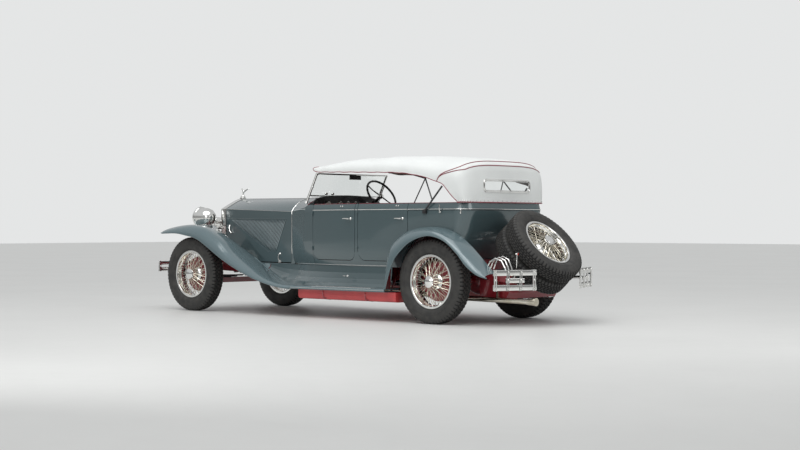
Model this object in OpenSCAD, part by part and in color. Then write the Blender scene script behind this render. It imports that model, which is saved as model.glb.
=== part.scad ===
// Touring car of the 1920s with a ladder frame, wire wheels, four doors and a folding top.
// Millimetres. +X is forward, +Y is the left side, +Z is up, and the floor is z = 0.
// Stations along the car are measured from the rear axle, and at_rear_axle() places them in the part's frame.

/* [Overall] */
// Distance between the axles
wheelbase = 3700; // [3500:10:3900]
// Distance between the tyre centre planes of one axle
track = 1420; // [1380:10:1460]
// Front axle to the front of the bumper
front_overhang = 780; // [740:10:900]

/* [Wheels] */
// Outer diameter of a tyre
tyre_od = 850; // [800:5:870]
// Section width of a tyre
tyre_w = 176; // [150:2:190]
// Diameter over the rim's flanges
rim_od = 546; // [500:2:560]
// Width over the rim's flanges
rim_w = 128; // [110:2:140]
// Spokes of one wheel
spoke_count = 24; // [16:4:36]
// Diameter of a brake drum
drum_d = 400; // [340:10:430]

/* [Body] */
// Widest half width of the body
body_half_w = 725; // [700:5:735]
// Height of the body's lower edge
body_low_z = 556; // [540:2:600]
// Height of the belt moulding
belt_z = 1150; // [1100:5:1180]
// Height of the door tops
body_top_z = 1210; // [1180:5:1240]
// Thickness of a door or a body wall
wall = 42; // [30:2:50]
// Gap between a door and the body
door_gap = 6; // [5:0.5:9]
// Joint between cowl and bonnet, from the rear axle
cowl_x = 2300; // [2250:10:2350]
// Front edge of the front door, from the rear axle
door_front_x = 1833; // [1800:5:1860]
// Post between the doors, from the rear axle
post_x = 1085; // [1040:5:1120]
// Rear edge of the rear door, from the rear axle
door_rear_x = 368; // [340:4:400]
// Start of the rounded rear corner, from the rear axle
corner_x = -190; // [-220:5:-170]
// Plan radius of the rear corner
corner_r = 170; // [140:5:190]

/* [Wings] */
// Half width over the wings' outer edges
wing_half_w = 865; // [850:5:890]
// Thickness of a wing
wing_t = 8; // [5:1:12]
// Height of the running board's underside
board_z = 304; // [290:2:330]
// Thickness of a running board
board_t = 34; // [20:2:45]

/* [Top] */
// Thickness of the fabric with its lining
cloth_t = 8; // [5:1:12]
// Rear window, half width and height
window_size = [375, 130]; // [100:5:400]

/* [Spare wheels] */
// Lean of the spare wheels' axis above the horizontal
spare_lean = 41; // [35:1:45]
// Rearmost tyre's centre, from the rear axle
spare_x = -830; // [-880:5:-820]
// Height of the rearmost spare tyre's centre
spare_z = 780; // [760:5:820]
// Distance between the two spare wheels along their axis
spare_pitch = 180; // [178:1:200]

/* [Chassis] */
// Half spacing of the frame rails at the front
rail_front_y = 355; // [340:5:365]
// Half spacing of the frame rails at the rear
rail_rear_y = 460; // [440:5:480]
// Width of a frame rail
rail_w = 50; // [40:2:60]
// Lateral place of the kingpins
kingpin_y = 585; // [570:5:595]

/* [Hidden] */
$fn = 48;

wheel_r = tyre_od / 2;
tyre_y = track / 2;
seam = 0.5;                     // gap between two fixed pieces that seat on each other
sheet_t = 4;                    // flat sheet metal

// Colours
paint = [0.24, 0.33, 0.36];
frame_red = [0.42, 0.05, 0.07];
chrome = [0.80, 0.80, 0.78];
rubber = [0.09, 0.09, 0.09];
hide = [0.36, 0.05, 0.09];
cloth = [0.82, 0.82, 0.78];
iron = [0.10, 0.10, 0.11];

// Spare wheels' axis, pointing up and to the rear, and how far back the outer tyre reaches
spare_axis = [-cos(spare_lean), 0, sin(spare_lean)];
tread_half = tyre_w * 0.36;
shoulder_drop = 5;
rear_overhang = -spare_x + (wheel_r - shoulder_drop) * sin(spare_lean) + tread_half * cos(spare_lean);
rear_axle_x = rear_overhang - (wheelbase + front_overhang + rear_overhang) / 2;

// ---------------------------------------------------------------- helpers

module at_rear_axle() translate([rear_axle_x, 0, 0]) children();
module both_sides() {
    children();
    mirror([0, 1, 0]) children();
}
// Stands a profile drawn in x and z up, from y = y0 to y = y1
module slab(y0, y1) translate([0, y1, 0]) rotate([90, 0, 0]) linear_extrude(height = y1 - y0) children();
// A round bar from a to b
module bar(a, b, r) {
    d = b - a;
    translate(a) rotate([0, acos(d[2] / norm(d)), atan2(d[1], d[0])]) cylinder(h = norm(d), r = r);
}
// Turns a profile drawn as [radius, offset along the axle] about the axle, offsets growing outwards
module about_axle() rotate([-90, 0, 0]) rotate_extrude() children();

function mix(a, b, t) = a + (b - a) * t;
function clamp01(t) = min(1, max(0, t));
// A row's value between the rows of a table sorted by its falling first column
function look(table, x, col, i = 0) =
    i >= len(table) - 2 || x >= table[i + 1][0]
        ? mix(table[i][col], table[i + 1][col],
              clamp01((x - table[i][0]) / (table[i + 1][0] - table[i][0])))
        : look(table, x, col, i + 1);
function bezier(p, t) = pow(1 - t, 3) * p[0] + 3 * pow(1 - t, 2) * t * p[1]
    + 3 * (1 - t) * t * t * p[2] + pow(t, 3) * p[3];

// A closed sheet between two grids of the same size, seen from outside with its rows running left to right and
// its columns running up. drop lists the cells left open, as [first row, last row, first column, last column].
module sheet(outer, inner, drop = []) {
    m = len(outer);
    n = len(outer[0]);
    k = m * n;
    function at(i, j) = i * n + j;
    function kept(i, j) = i >= 0 && j >= 0 && i < m - 1 && j < n - 1
        && len([for (d = drop) if (i >= d[0] && i <= d[1] && j >= d[2] && j <= d[3]) 1]) == 0;
    function edge(a, b) = [[a, b, k + b], [a, k + b, k + a]];
    polyhedron(
        points = [for (row = outer) each row, for (row = inner) each row],
        faces = [for (i = [0:m - 2], j = [0:n - 2]) if (kept(i, j)) each concat(
            [[at(i, j), at(i, j + 1), at(i + 1, j + 1)], [at(i, j), at(i + 1, j + 1), at(i + 1, j)],
             [k + at(i, j), k + at(i + 1, j + 1), k + at(i, j + 1)],
             [k + at(i, j), k + at(i + 1, j), k + at(i + 1, j + 1)]],
            kept(i - 1, j) ? [] : edge(at(i, j + 1), at(i, j)),
            kept(i + 1, j) ? [] : edge(at(i + 1, j), at(i + 1, j + 1)),
            kept(i, j - 1) ? [] : edge(at(i, j), at(i + 1, j)),
            kept(i, j + 1) ? [] : edge(at(i + 1, j + 1), at(i, j + 1)))]
    );
}
// Normals of a grid, pointing out, and the grid moved in along them
function grid_normal(g, i, j) = let (m = len(g) - 1, n = len(g[0]) - 1,
    u = g[min(i + 1, m)][j] - g[max(i - 1, 0)][j], v = g[i][min(j + 1, n)] - g[i][max(j - 1, 0)],
    c = cross(v, u)) -c / norm(c);
function moved_in(g, t) = [for (i = [0:len(g) - 1]) [for (j = [0:len(g[0]) - 1]) g[i][j] - t * grid_normal(g, i, j)]];
// Rows of a table with count - 1 smooth ones added between neighbours
function smooth_row(a, b, c, d, t) = 0.5 * (2 * b + (c - a) * t + (2 * a - 5 * b + 4 * c - d) * t * t
    + (3 * b - a - 3 * c + d) * t * t * t);
function smooth(table, count) = let (n = len(table) - 1) concat(
    [for (i = [0:n - 1], k = [0:count - 1]) smooth_row(
        table[i == 0 ? 0 : i - 1], table[i], table[i + 1], table[min(i + 2, n)], k / count)],
    [table[n]]);

// ---------------------------------------------------------------- body form

widest_x = 900;                 // the body narrows ahead of and behind this station
cowl_half_w = 500;
corner_half_w = body_half_w - 65;
turn_under_z = 760;             // below this height the sides turn in
turn_under = 42;
tail_tuck = 200;                // the tail's lower edge lies this far ahead of its belt
rear_x = corner_x - corner_r;

function half_w(x) = x > widest_x
    ? body_half_w - (body_half_w - cowl_half_w) * pow((x - widest_x) / (cowl_x - widest_x), 2)
    : body_half_w - (body_half_w - corner_half_w) * pow((widest_x - x) / (widest_x - corner_x), 2);
function half_w_slope(x) = (half_w(x + 1) - half_w(x - 1)) / 2;
function side_in(z) = z < turn_under_z ? turn_under * pow((turn_under_z - z) / (turn_under_z - body_low_z), 2)
    : z > belt_z ? 14 * (z - belt_z) / (body_top_z - belt_z) : 0;
function tail_in(z) = z < belt_z ? tail_tuck * pow((belt_z - z) / (belt_z - body_low_z), 1.5) : side_in(z);

// The plan line of the body, from the cowl (0) along the side to the corner (1), round it (2) and to the middle (3)
function side_s(x) = (cowl_x - x) / (cowl_x - corner_x);
function plan_point(s) =
    s <= 1 ? let (x = mix(cowl_x, corner_x, s)) [x, half_w(x)]
    : s <= 2 ? [corner_x + corner_r * cos(90 * s), corner_half_w - corner_r + corner_r * sin(90 * s)]
    : [rear_x, (corner_half_w - corner_r) * (3 - s)];
function plan_out(s) =
    s <= 1 ? let (g = half_w_slope(mix(cowl_x, corner_x, s))) [-g, 1] / norm([g, 1])
    : s <= 2 ? [cos(90 * s), sin(90 * s)]
    : [-1, 0];
// A point of the body's side at plan place s and height z, moved in by depth; s over 3 is the right side
function skin(s, z, depth) = s > 3
    ? let (p = skin(6 - s, z, depth)) [p[0], -p[1], p[2]]
    : let (n = plan_out(s), tail = max(0, -n[0]), p = plan_point(s) - n * depth
           - n * (side_in(z) * (1 - tail) + tail_in(z) * tail)) [p[0], p[1], z];
// A wall of the body through the given plan places, with a list of heights for each
module wall_panel(places, heights, t, drop = []) {
    grid = [for (depth = [0, t]) [for (i = [0:len(places) - 1]) [for (z = heights[i]) skin(places[i], z, depth)]]];
    sheet(grid[0], grid[1], drop);
}
function steps(a, b, n) = [for (i = [0:n]) mix(a, b, i / n)];

// The wheel opening of the body's side
arch_r = 500;
function arch_z(x, r) = abs(x) < r ? wheel_r + sqrt(r * r - x * x) : 0;

// ---------------------------------------------------------------- nose form

scuttle_x = 1950;               // rear edge of the cowl's top, behind the windscreen
shell_x = wheelbase - 70;       // the bonnet's front edge, at the back of the radiator shell
// Stations of the bonnet and cowl: place, half width, shoulder height, crown height, fullness of the crown
nose = [
    [shell_x, 300, 1178, 1304, 1.30],
    [cowl_x, cowl_half_w, 1140, 1296, 4.0],
    [2010, half_w(2010), 1180, 1300, 4.0],
    [scuttle_x, half_w(scuttle_x), body_top_z - 2, 1300, 4.0],
    [door_front_x + door_gap / 2, half_w(door_front_x), body_top_z, 1300, 4.0]
];
side_steps = 4;
crown_steps = 8;
// Left half of a nose section as [y, z], from the lower edge up and over to the middle
function nose_half(x, low, grow = 0) = let (w = look(nose, x, 1) + grow, zs = look(nose, x, 2),
    zt = look(nose, x, 3) + grow, p = look(nose, x, 4), full = x < cowl_x ? 1 : 0)
    [for (z = steps(low, zs, side_steps)) [w - full * side_in(z), z],
     for (k = [1:crown_steps]) let (v = w - full * side_in(zs), y = v * cos(90 * k / crown_steps))
         [y, zs + (zt - zs) * (1 - pow(y / v, p))]];
function both_halves(h) = concat(h, [for (i = [len(h) - 2:-1:0]) [-h[i][0], h[i][1]]]);
function at_x(x, line) = [for (p = line) [x, p[0], p[1]]];

// ---------------------------------------------------------------- chassis

// Side line of a frame rail: place, underside, top
rail_line = [
    [wheelbase + 560, 455, 505],
    [wheelbase + 330, 474, 554],
    [wheelbase - 350, 452, 552],
    [1000, 405, 552],
    [560, 420, 552],
    [260, 540, 640],
    [-200, 540, 640],
    [-560, 440, 530],
    [-760, 430, 500]
];
function rail_low(x) = look(rail_line, x, 1);
function rail_top(x) = look(rail_line, x, 2);
module rail_side() {
    polygon([for (r = rail_line) [r[0], r[1]], for (i = [len(rail_line) - 1:-1:0]) [rail_line[i][0], rail_line[i][2]]]);
}
module rail_plan() {
    h = rail_w / 2;
    polygon([[wheelbase + 560, rail_front_y - h], [wheelbase + 560, rail_front_y + h],
             [2700, rail_front_y + h], [1700, rail_rear_y + h], [-760, rail_rear_y + h],
             [-760, rail_rear_y - h], [1700, rail_rear_y - h], [2700, rail_front_y - h]]);
}
module frame_rails() color(frame_red) union() {
    both_sides() intersection() {
        slab(rail_front_y - 60, rail_rear_y + 60) rail_side();
        translate([0, 0, 350]) linear_extrude(height = 400) rail_plan();
    }
    // Cross members: place, underside, height, length along x, half width
    for (c = [[wheelbase + 300, 486, 50, 70, rail_front_y], [wheelbase - 30, 520, 69.5, 60, rail_front_y],
              [2250, 470, 60, 70, 400], [900, 500, 45, 70, rail_rear_y], [-640, 446, 50, 60, rail_rear_y]])
        translate([c[0] - c[3] / 2, -c[4], c[1]]) cube([c[3], 2 * c[4], c[2]]);
}
engine_size = [1250, 300, 520];
module engine_block() color(iron) union() {
    translate([2330, -engine_size[1] / 2, 470]) cube(engine_size);
    // Feet on the rails' inner faces
    for (f = [[2700, 329.5], [3290, 329.5]]) translate([f[0], -f[1], 490]) cube([60, 2 * f[1], 40]);
}

hub_z = wheel_r;
beam_top_z = hub_z - 50;
module front_axle() color(frame_red) translate([wheelbase, 0, 0]) union() {
    translate([-30, -470, beam_top_z - 60]) cube([60, 940, 60]);
    both_sides() {
        rotate([90, 0, 90]) translate([0, 0, -30]) linear_extrude(height = 60)
            polygon([[460, beam_top_z - 60], [460, beam_top_z], [535, hub_z + 30], [kingpin_y - 8, hub_z + 30],
                     [kingpin_y - 8, hub_z - 30], [535, hub_z - 30]]);
        translate([0, kingpin_y, hub_z - 30]) cylinder(h = 60, r = 24);
    }
}
// The forked knuckle with its kingpin ends, stub and back plate
knuckle_gap = 0.4;
back_plate_y = tyre_y - 92;     // inner edge of the drum, where the back plate lies
plate_y = kingpin_y + 25;
module knuckle() color(frame_red) translate([wheelbase, 0, 0]) union() {
    for (z = [hub_z - 30 - knuckle_gap - 25, hub_z + 30 + knuckle_gap]) {
        translate([0, kingpin_y, z]) cylinder(h = 25, r = 24);
        translate([-24, kingpin_y, z]) cube([48, plate_y - kingpin_y + 1, 25]);
    }
    translate([-24, plate_y, hub_z - 55]) cube([48, 7, 110]);
    translate([0, plate_y, hub_z]) rotate([-90, 0, 0]) cylinder(h = tyre_y + 23 - plate_y, r = 17);
    translate([0, back_plate_y - 8, hub_z]) rotate([-90, 0, 0]) difference() {
        cylinder(h = 6, r = drum_d / 2 - 14);
        translate([0, 0, -1]) cylinder(h = 8, r = 16);
    }
}

diff_r = 150;
module rear_axle() color(frame_red) union() {
    translate([0, -tyre_y - 20, hub_z]) rotate([-90, 0, 0]) cylinder(h = track + 40, r = 17);
    translate([0, -back_plate_y, hub_z]) rotate([-90, 0, 0]) cylinder(h = 2 * back_plate_y, r = 42);
    both_sides() translate([0, back_plate_y - 8, hub_z]) rotate([-90, 0, 0]) cylinder(h = 6, r = drum_d / 2 - 14);
    translate([0, 0, hub_z]) sphere(r = diff_r);
    bar([120, 0, hub_z + 5], [2100, 0, hub_z + 60], 38);
}
// Leaf springs: axle place, lateral place, half span, camber, height of the middle leaf over the axle
spring_w = 50;
leaf_t = 9;
springs = [[wheelbase, rail_front_y, 500, 16, beam_top_z - hub_z - 1 + seam], [0, 535, 600, 34, 42 - 1 + seam]];
// One outline for the four leaves, each a fifth of the half span shorter than the one over it
module leaf_pack(s) {
    function curve(u, k) = [s[0] + u * s[2], hub_z + s[4] + 1 + (3 - k) * leaf_t + s[3] * u * u];
    function inner(k) = k < 3 ? 0.8 - 0.2 * k : 0.1;
    slab(s[1] - spring_w / 2, s[1] + spring_w / 2) polygon(concat(
        [for (u = steps(-1, 1, 10)) curve(u, -1)],
        [for (k = [0:3]) each [curve(1 - 0.2 * k, k), curve(inner(k), k)]],
        [for (k = [3:-1:0]) each [curve(-inner(k), k), curve(0.2 * k - 1, k)]]));
}
// An eye at each end of the main leaf, with its shackle up to the rail's underside or its pin to the rail's side
module spring_eye(s, side) {
    x = s[0] + side * s[2];
    z = hub_z + s[4] + 1 + 3 * leaf_t + s[3];
    translate([x, s[1] - spring_w / 2, z]) rotate([-90, 0, 0]) cylinder(h = spring_w, r = 13);
    if (s[1] == rail_front_y) translate([x - 9, s[1] - 20, z]) cube([18, 40, rail_low(x) - 1 - z]);
    else translate([x, rail_rear_y + rail_w / 2 + seam, z]) rotate([-90, 0, 0])
        cylinder(h = s[1] - rail_rear_y - rail_w / 2, r = 9);
}
module leaf_springs() color(iron) both_sides() for (s = springs) union() {
    leaf_pack(s);
    spring_eye(s, 1);
    spring_eye(s, -1);
}

// ---------------------------------------------------------------- wheels

bead_r = rim_od / 2 - 11;
rim_half = rim_w / 2;
// A tyre's half section as [radius, offset]: bead, sidewall, shoulder, crown
tyre_half = concat(
    [[bead_r, 0], [bead_r, rim_half - 8]],
    [for (t = steps(0, 1, 6)) bezier([[bead_r + 14, rim_half - 8], [bead_r + 45, tyre_w / 2 + 2],
        [wheel_r - 62, tyre_w / 2 + 6], [wheel_r - 20, tread_half + 12]], t)],
    [[wheel_r - shoulder_drop, tread_half], [wheel_r, tread_half - 14], [wheel_r, 0]]);
module tyre_shape() color(rubber) about_axle()
    polygon(concat(tyre_half, [for (i = [len(tyre_half) - 2:-1:1]) [tyre_half[i][0], -tyre_half[i][1]]]));

hub_out = rim_half + 52;        // hub cap's face, from the tyre's centre plane
hub_r = 52;
drum_out = -46;                 // drum's outer face and open edge, from the tyre's centre plane
drum_in = -90;
bore_r = 17.05;
module wheel_shape() color(chrome) union() {
    about_axle() polygon([[bead_r - 26, -22], [bead_r - 12, -rim_half + 14], [bead_r - 12, -rim_half],
        [bead_r + 10, -rim_half], [bead_r + 10, -rim_half + 7], [bead_r - 0.5, -rim_half + 7.5],
        [bead_r - 0.5, rim_half - 7.5], [bead_r + 10, rim_half - 7], [bead_r + 10, rim_half],
        [bead_r - 12, rim_half], [bead_r - 12, rim_half - 14], [bead_r - 26, 22]]);
    about_axle() polygon([[bore_r, drum_out + 2], [74, drum_out + 2], [74, drum_out + 16], [hub_r, drum_out + 30],
        [hub_r, hub_out - 34], [hub_r + 8, hub_out - 30], [hub_r + 8, hub_out - 18], [hub_r - 8, hub_out],
        [0, hub_out], [0, 24], [bore_r, 24]]);
    // Spokes cross between an inner flange, an outer flange and the rim
    for (k = [0:spoke_count - 1]) let (a = 360 / spoke_count * k, out = k % 2 == 0,
        lean = (floor(k / 2) % 2 == 0 ? 1 : -1) * 22, w0 = out ? hub_out - 44 : drum_out + 9, r0 = out ? 46 : 68)
        bar([r0 * cos(a - lean), w0, r0 * sin(a - lean)],
            [(bead_r - 14) * cos(a), out ? -10 : 12, (bead_r - 14) * sin(a)], 3.2);
}
module drum_shape() color(frame_red) about_axle() polygon([[bore_r, drum_out], [drum_d / 2, drum_out],
    [drum_d / 2, drum_in], [drum_d / 2 - 10, drum_in], [drum_d / 2 - 10, drum_out - 8], [bore_r, drum_out - 8]]);
module running_wheel() {
    wheel_shape();
    drum_shape();
}
module on_axle(x, side) translate([x, side * tyre_y, hub_z])
    mirror([0, side < 0 ? 1 : 0, 0]) children();
// Places a wheel's centre on the spare wheels' axis, its outer face up and back
module on_spare(k) translate([spare_x, 0, spare_z] - spare_axis * spare_pitch * k)
    rotate([0, spare_lean, 0]) rotate([0, 0, 90]) children();
module spare_wheels() for (k = [0, 1]) on_spare(k) wheel_shape();
module spare_tyres() for (k = [0, 1]) on_spare(k) tyre_shape();
module spare_carrier() color(iron) union() {
    // Post along the spare wheels' axis, bored into the hubs from the front, with legs to the frame
    centre = [spare_x, 0, spare_z];
    hub_in = -drum_out - 2;
    start = centre - spare_axis * (spare_pitch + hub_in + 130);
    bar(start, start + spare_axis * (130 - seam), 60);
    bar(centre - spare_axis * (hub_in + seam), centre - spare_axis * (spare_pitch - hub_out - seam), 40);
    both_sides() {
        bar([start[0] - 30, 30, start[2] + 10], [-605, rail_rear_y - 4, 540], 15);
        slab(rail_rear_y - 20, rail_rear_y + 20) polygon([[-566, rail_top(-566) + seam], [-645, rail_top(-645) + seam],
            [-645, 550], [-566, 550]]);
    }
}

// ---------------------------------------------------------------- nose, lamps and bumpers

core_x = wheelbase - 60;
shell_front_x = wheelbase + 23;
shell_low_z = 590;
module nose_plate(x0, x1, grow, low) translate([x0, 0, 0]) rotate([90, 0, 90]) linear_extrude(height = x1 - x0)
    polygon(both_halves(nose_half(shell_x, low, grow)));
module radiator_shell() color(chrome) union() {
    difference() {
        nose_plate(shell_x, shell_front_x, 6, shell_low_z);
        nose_plate(shell_x - 1, shell_front_x + 1, -34, shell_low_z + 40);
    }
    translate([core_x + 30, 0, 1304]) cylinder(h = 34, r = 34);
}
module radiator_core() color(iron) nose_plate(core_x, core_x + 60, -34 - seam, shell_low_z + 40 + seam);

lamp_x = wheelbase + 150;
lamp_y = 380;
lamp_z = 1079;
lamp_r = 125;
horn_y = 150;
horn_z = 1015;
module lamp_shape(r, long) rotate([0, 90, 0]) rotate_extrude() polygon([[0, -long * 0.55],
    for (t = steps(0, 1, 6)) bezier([[0.0, -long * 0.55], [r * 0.7, -long * 0.5], [r * 0.94, -long * 0.2],
        [r * 0.95, long * 0.3]], t), [r, long * 0.32], [r, long * 0.45], [0, long * 0.5]]);
module headlamps() color(chrome) union() {
    translate([lamp_x, -448, 948]) rotate([-90, 0, 0]) cylinder(h = 896, r = 14);
    both_sides() {
        translate([lamp_x + 50, lamp_y, lamp_z]) lamp_shape(lamp_r, 230);
        bar([lamp_x, lamp_y, 940], [lamp_x, lamp_y, lamp_z - 60], 16);
        translate([lamp_x + 40, horn_y, horn_z]) lamp_shape(70, 170);
        bar([lamp_x, horn_y, 948], [lamp_x, horn_y, horn_z - 30], 11);
        bar([lamp_x, rail_front_y, 948], [lamp_x, rail_front_y, rail_top(lamp_x) + seam], 14);
    }
}

bumper_bar = [8, 48];           // thickness and height of a bumper's spring bars
module bumper_blades(a, b, low, high) {
    d = b - a;
    u = d / norm(d) * bumper_bar[0];
    for (z = [low, high - bumper_bar[1]]) translate([0, 0, z]) linear_extrude(height = bumper_bar[1])
        polygon([a, b, b + [-u[1], u[0]], a + [-u[1], u[0]]]);
}
module clip_at(p, low, high) translate([p[0] - 14, p[1] - 16, low - 4]) cube([28, 32, high - low + 8]);
bumper_x = wheelbase + front_overhang;
module front_bumper() color(chrome) union() {
    bumper_blades([bumper_x, -640], [bumper_x, 640], 440, 559);
    for (y = [-624, -200, 200, 624]) translate([bumper_x - 30, y - 16, 436]) cube([30, 32, 127]);
    both_sides() translate([wheelbase + 560 + seam, rail_front_y - 20, 450])
        cube([front_overhang - 560 - seam - 4, 40, 40]);
}
rear_bar_out = [-830, 800];
rear_bar_in = [-1010, 350];
rear_bar_z = [351, 560];
module rear_bumper() color(chrome) both_sides() {
    bumper_blades(rear_bar_out, rear_bar_in, rear_bar_z[0], rear_bar_z[1]);
    for (t = [0.03, 0.4, 0.7, 0.97]) clip_at(mix(rear_bar_out, rear_bar_in, t), rear_bar_z[0], rear_bar_z[1]);
    translate([-968, rail_rear_y - 20, 440]) cube([968 - 760 - seam, 40, 48]);
}

// ---------------------------------------------------------------- wings and boards

// Front wing stations from its tip to the running board: lip (the outer edge), crown and inner edge
// [lip x, lip z, crown x, crown y, crown z, inner x, inner y, inner z]
front_wing = [
    [4130, 893, 4200, 745, 905, 4120, 480, 905],
    [4043, 897, 4120, 742, 943, 4045, 465, 945],
    [3866, 898, 3930, 740, 978, 3870, 455, 983],
    [3689, 875, 3715, 740, 994, 3690, 450, 985],
    [3553, 852, 3561, 740, 979, 3560, 450, 925],
    [3419, 802, 3420, 740, 938, 3420, 450, 860],
    [3175, 669, 3200, 740, 830, 3200, 452, 750],
    [2988, 575, 3000, 740, 690, 3000, 455, 645],
    [2714, 464, 2714, 750, 540, 2714, 480, 500],
    [2447, 381, 2447, 770, 425, 2447, 560, 405],
    [2184, 327, 2184, 800, 358, 2184, 680, 352],
    [1960, 306, 1960, 825, 338, 1960, 770, 338]
];
wing_rows = smooth(front_wing, 2);
function front_wing_line(r) = concat(
    [for (t = steps(0, 1, 5)) [mix(r[0], r[2], sin(90 * t)), mix(wing_half_w, r[3], 1 - cos(90 * t)),
                               mix(r[1], r[4], sin(90 * t))]],
    [for (t = steps(0.25, 1, 3)) [mix(r[2], r[5], t), mix(r[3], r[6], t), mix(r[4], r[7], t * t)]]);
module front_wings() color(paint) both_sides() {
    grid = [for (r = wing_rows) front_wing_line(r)];
    sheet(grid, moved_in(grid, wing_t));
}
// Rear wing stations from the running board over the wheel to the tail: [lip x, lip z, body x, body z]
rear_wing = [
    [545, 336.9, 600, 336.9],
    [500, 480, 592, 560],
    [450, 600, 562, 720],
    [396, 676, 500, 830],
    [250, 800, 315, 938],
    [84, 870, 108, 972],
    [-78, 887, -80, 966],
    [-259, 834, -260, 903],
    [-416, 717, -410, 808],
    [-533, 599, -550, 690],
    [-668, 513, -660, 590],
    [-790, 480, -740, 520]
];
rear_wing_rows = smooth(rear_wing, 2);
wing_inner_y = corner_half_w + 2;
function rear_wing_inner_y(x) = x > corner_x ? half_w(x) + seam : wing_inner_y;
function rear_wing_line(r) = [for (t = steps(0, 1, 6)) let (y1 = rear_wing_inner_y(r[2]))
    [mix(r[0], r[2], sin(90 * t)), mix(wing_half_w, y1, 1 - cos(90 * t)), mix(r[1], r[3], sin(90 * t))]];
module rear_wings() color(paint) both_sides() {
    grid = [for (r = rear_wing_rows) rear_wing_line(r)];
    sheet(grid, moved_in(grid, wing_t));
}
// Height of the rear wing's inner line over the station x, from the board to the highest point
function rear_wing_top(x, i = 0) = rear_wing[i + 1][2] <= x || i > 5
    ? mix(rear_wing[i][3], rear_wing[i + 1][3],
          clamp01((rear_wing[i][2] - x) / (rear_wing[i][2] - rear_wing[i + 1][2])))
    : rear_wing_top(x, i + 1);

board_top_z = board_z + board_t;
board_x = [548, 1959.5];
pad_t = 2;                      // the tread pad on the board's outer part stands this high
pad_in_y = 768;
module running_boards() color(paint) both_sides() union() {
    translate([board_x[0], 640, board_z]) cube([board_x[1] - board_x[0], wing_half_w - 640, board_t - pad_t]);
    translate([board_x[0] + 64, pad_in_y, board_z + 1])
        cube([board_x[1] - board_x[0] - 74, wing_half_w - pad_in_y, board_t - 1]);
}

valance_foot_y = 765;
valance_x = [610, 2700];
// Foot of the side valance: on the running board, then along the front wing's inner edge
function wing_inner(x, i = 7) = i >= len(front_wing) - 2 || front_wing[i + 1][5] <= x
    ? let (t = clamp01((front_wing[i][5] - x) / (front_wing[i][5] - front_wing[i + 1][5])))
        [mix(front_wing[i][6], front_wing[i + 1][6], t), mix(front_wing[i][7], front_wing[i + 1][7], t)]
    : wing_inner(x, i + 1);
function valance_foot(x) = x < board_x[1] ? [valance_foot_y, board_top_z - pad_t + seam]
    : wing_inner(x) + [-4, 1];
function valance_top(x) = [(x > cowl_x ? look(nose, x, 1) : half_w(x) - turn_under) - 2, body_low_z - seam];
module side_valances() color(paint) both_sides() {
    grid = [for (x = steps(valance_x[1], valance_x[0], 16)) let (a = valance_foot(x), b = valance_top(x))
        [for (t = steps(0, 1, 5)) [x, mix(a[0], b[0], sin(90 * t)), mix(a[1], b[1], 1 - cos(90 * t))]]];
    sheet(grid, [for (row = grid) [for (p = row) p - [0, sheet_t, 0]]]);
}
module chassis_trays() color(frame_red) both_sides() union() {
    translate([446, 560, 200]) cube([1434, 240, board_z - seam - 200]);
    for (x = [700, 1250, 1700]) translate([x, 0, 0]) rotate([90, 0, 90]) linear_extrude(height = 50)
        polygon([[rail_rear_y + rail_w / 2 + seam, 470], [rail_rear_y + rail_w / 2 + seam, 420], [565, 260],
                 [600, 260], [600, 290]]);
}
apron_x = [-214, -380, -562];
module rear_apron() color(paint) slab(-500, 500) polygon(concat(
    [for (x = apron_x) [x, rail_top(x) + seam]], [for (i = [2:-1:0]) [apron_x[i], rail_top(apron_x[i]) + seam + sheet_t]]));

// ---------------------------------------------------------------- bonnet and cowl

bonnet_t = 3;
bonnet_low_z = body_low_z + 20;
moving_gap = 5.5;
bonnet_x = [shell_x - moving_gap, cowl_x + moving_gap];
// The bonnet's top from beside the side hinge to beside the centre hinge
function bonnet_top_line(x) = let (w = look(nose, x, 1), zs = look(nose, x, 2), zt = look(nose, x, 3),
    p = look(nose, x, 4)) [for (y = steps(w - 3.5, 3.4, 8)) [x, y, zs + (zt - zs) * (1 - pow(y / w, p))]];
hinge_r = 2.6;
function shoulder(x) = [x, look(nose, x, 1) - 1, look(nose, x, 2) - 1];
module bonnet_top() color(paint) {
    grid = [for (x = steps(bonnet_x[0], bonnet_x[1], 4)) bonnet_top_line(x)];
    sheet(grid, moved_in(grid, bonnet_t));
    bar(shoulder(bonnet_x[1] + 4), shoulder(bonnet_x[0] - 4), hinge_r);
}
module bonnet_hinge() color(chrome) bar([cowl_x + 1, 0, look(nose, cowl_x, 3) - hinge_r],
    [shell_x - 1, 0, look(nose, shell_x, 3) - hinge_r], hinge_r);
module bonnet_side() color(paint) {
    grid = [for (x = steps(bonnet_x[0], bonnet_x[1], 2)) let (w = look(nose, x, 1), zs = look(nose, x, 2))
        [for (z = [bonnet_low_z, zs - 4.5]) [x, w, z]]];
    sheet(grid, moved_in(grid, bonnet_t));
}
cowl_rows = concat(steps(cowl_x, scuttle_x, 4), [door_front_x + door_gap / 2 + 60, door_front_x + door_gap / 2]);
function cowl_wall(x) = mix(14, wall, (cowl_x - x) / (cowl_x - door_front_x));
module cowl() color(paint) union() {
    sheet([for (x = cowl_rows) at_x(x, both_halves(nose_half(x, body_low_z)))],
          [for (x = cowl_rows) at_x(x, both_halves(nose_half(x, body_low_z, -cowl_wall(x))))],
          [[4, 9, side_steps, side_steps + 2 * crown_steps - 1]]);
    both_sides() door_hinge(door_front_x, -1);
}
module bulkhead() color(iron) translate([cowl_x - 30, 0, 0]) rotate([90, 0, 90]) linear_extrude(height = 10)
    polygon(both_halves(nose_half(cowl_x - 30, body_low_z + 16, -20)));

// ---------------------------------------------------------------- cabin

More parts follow.
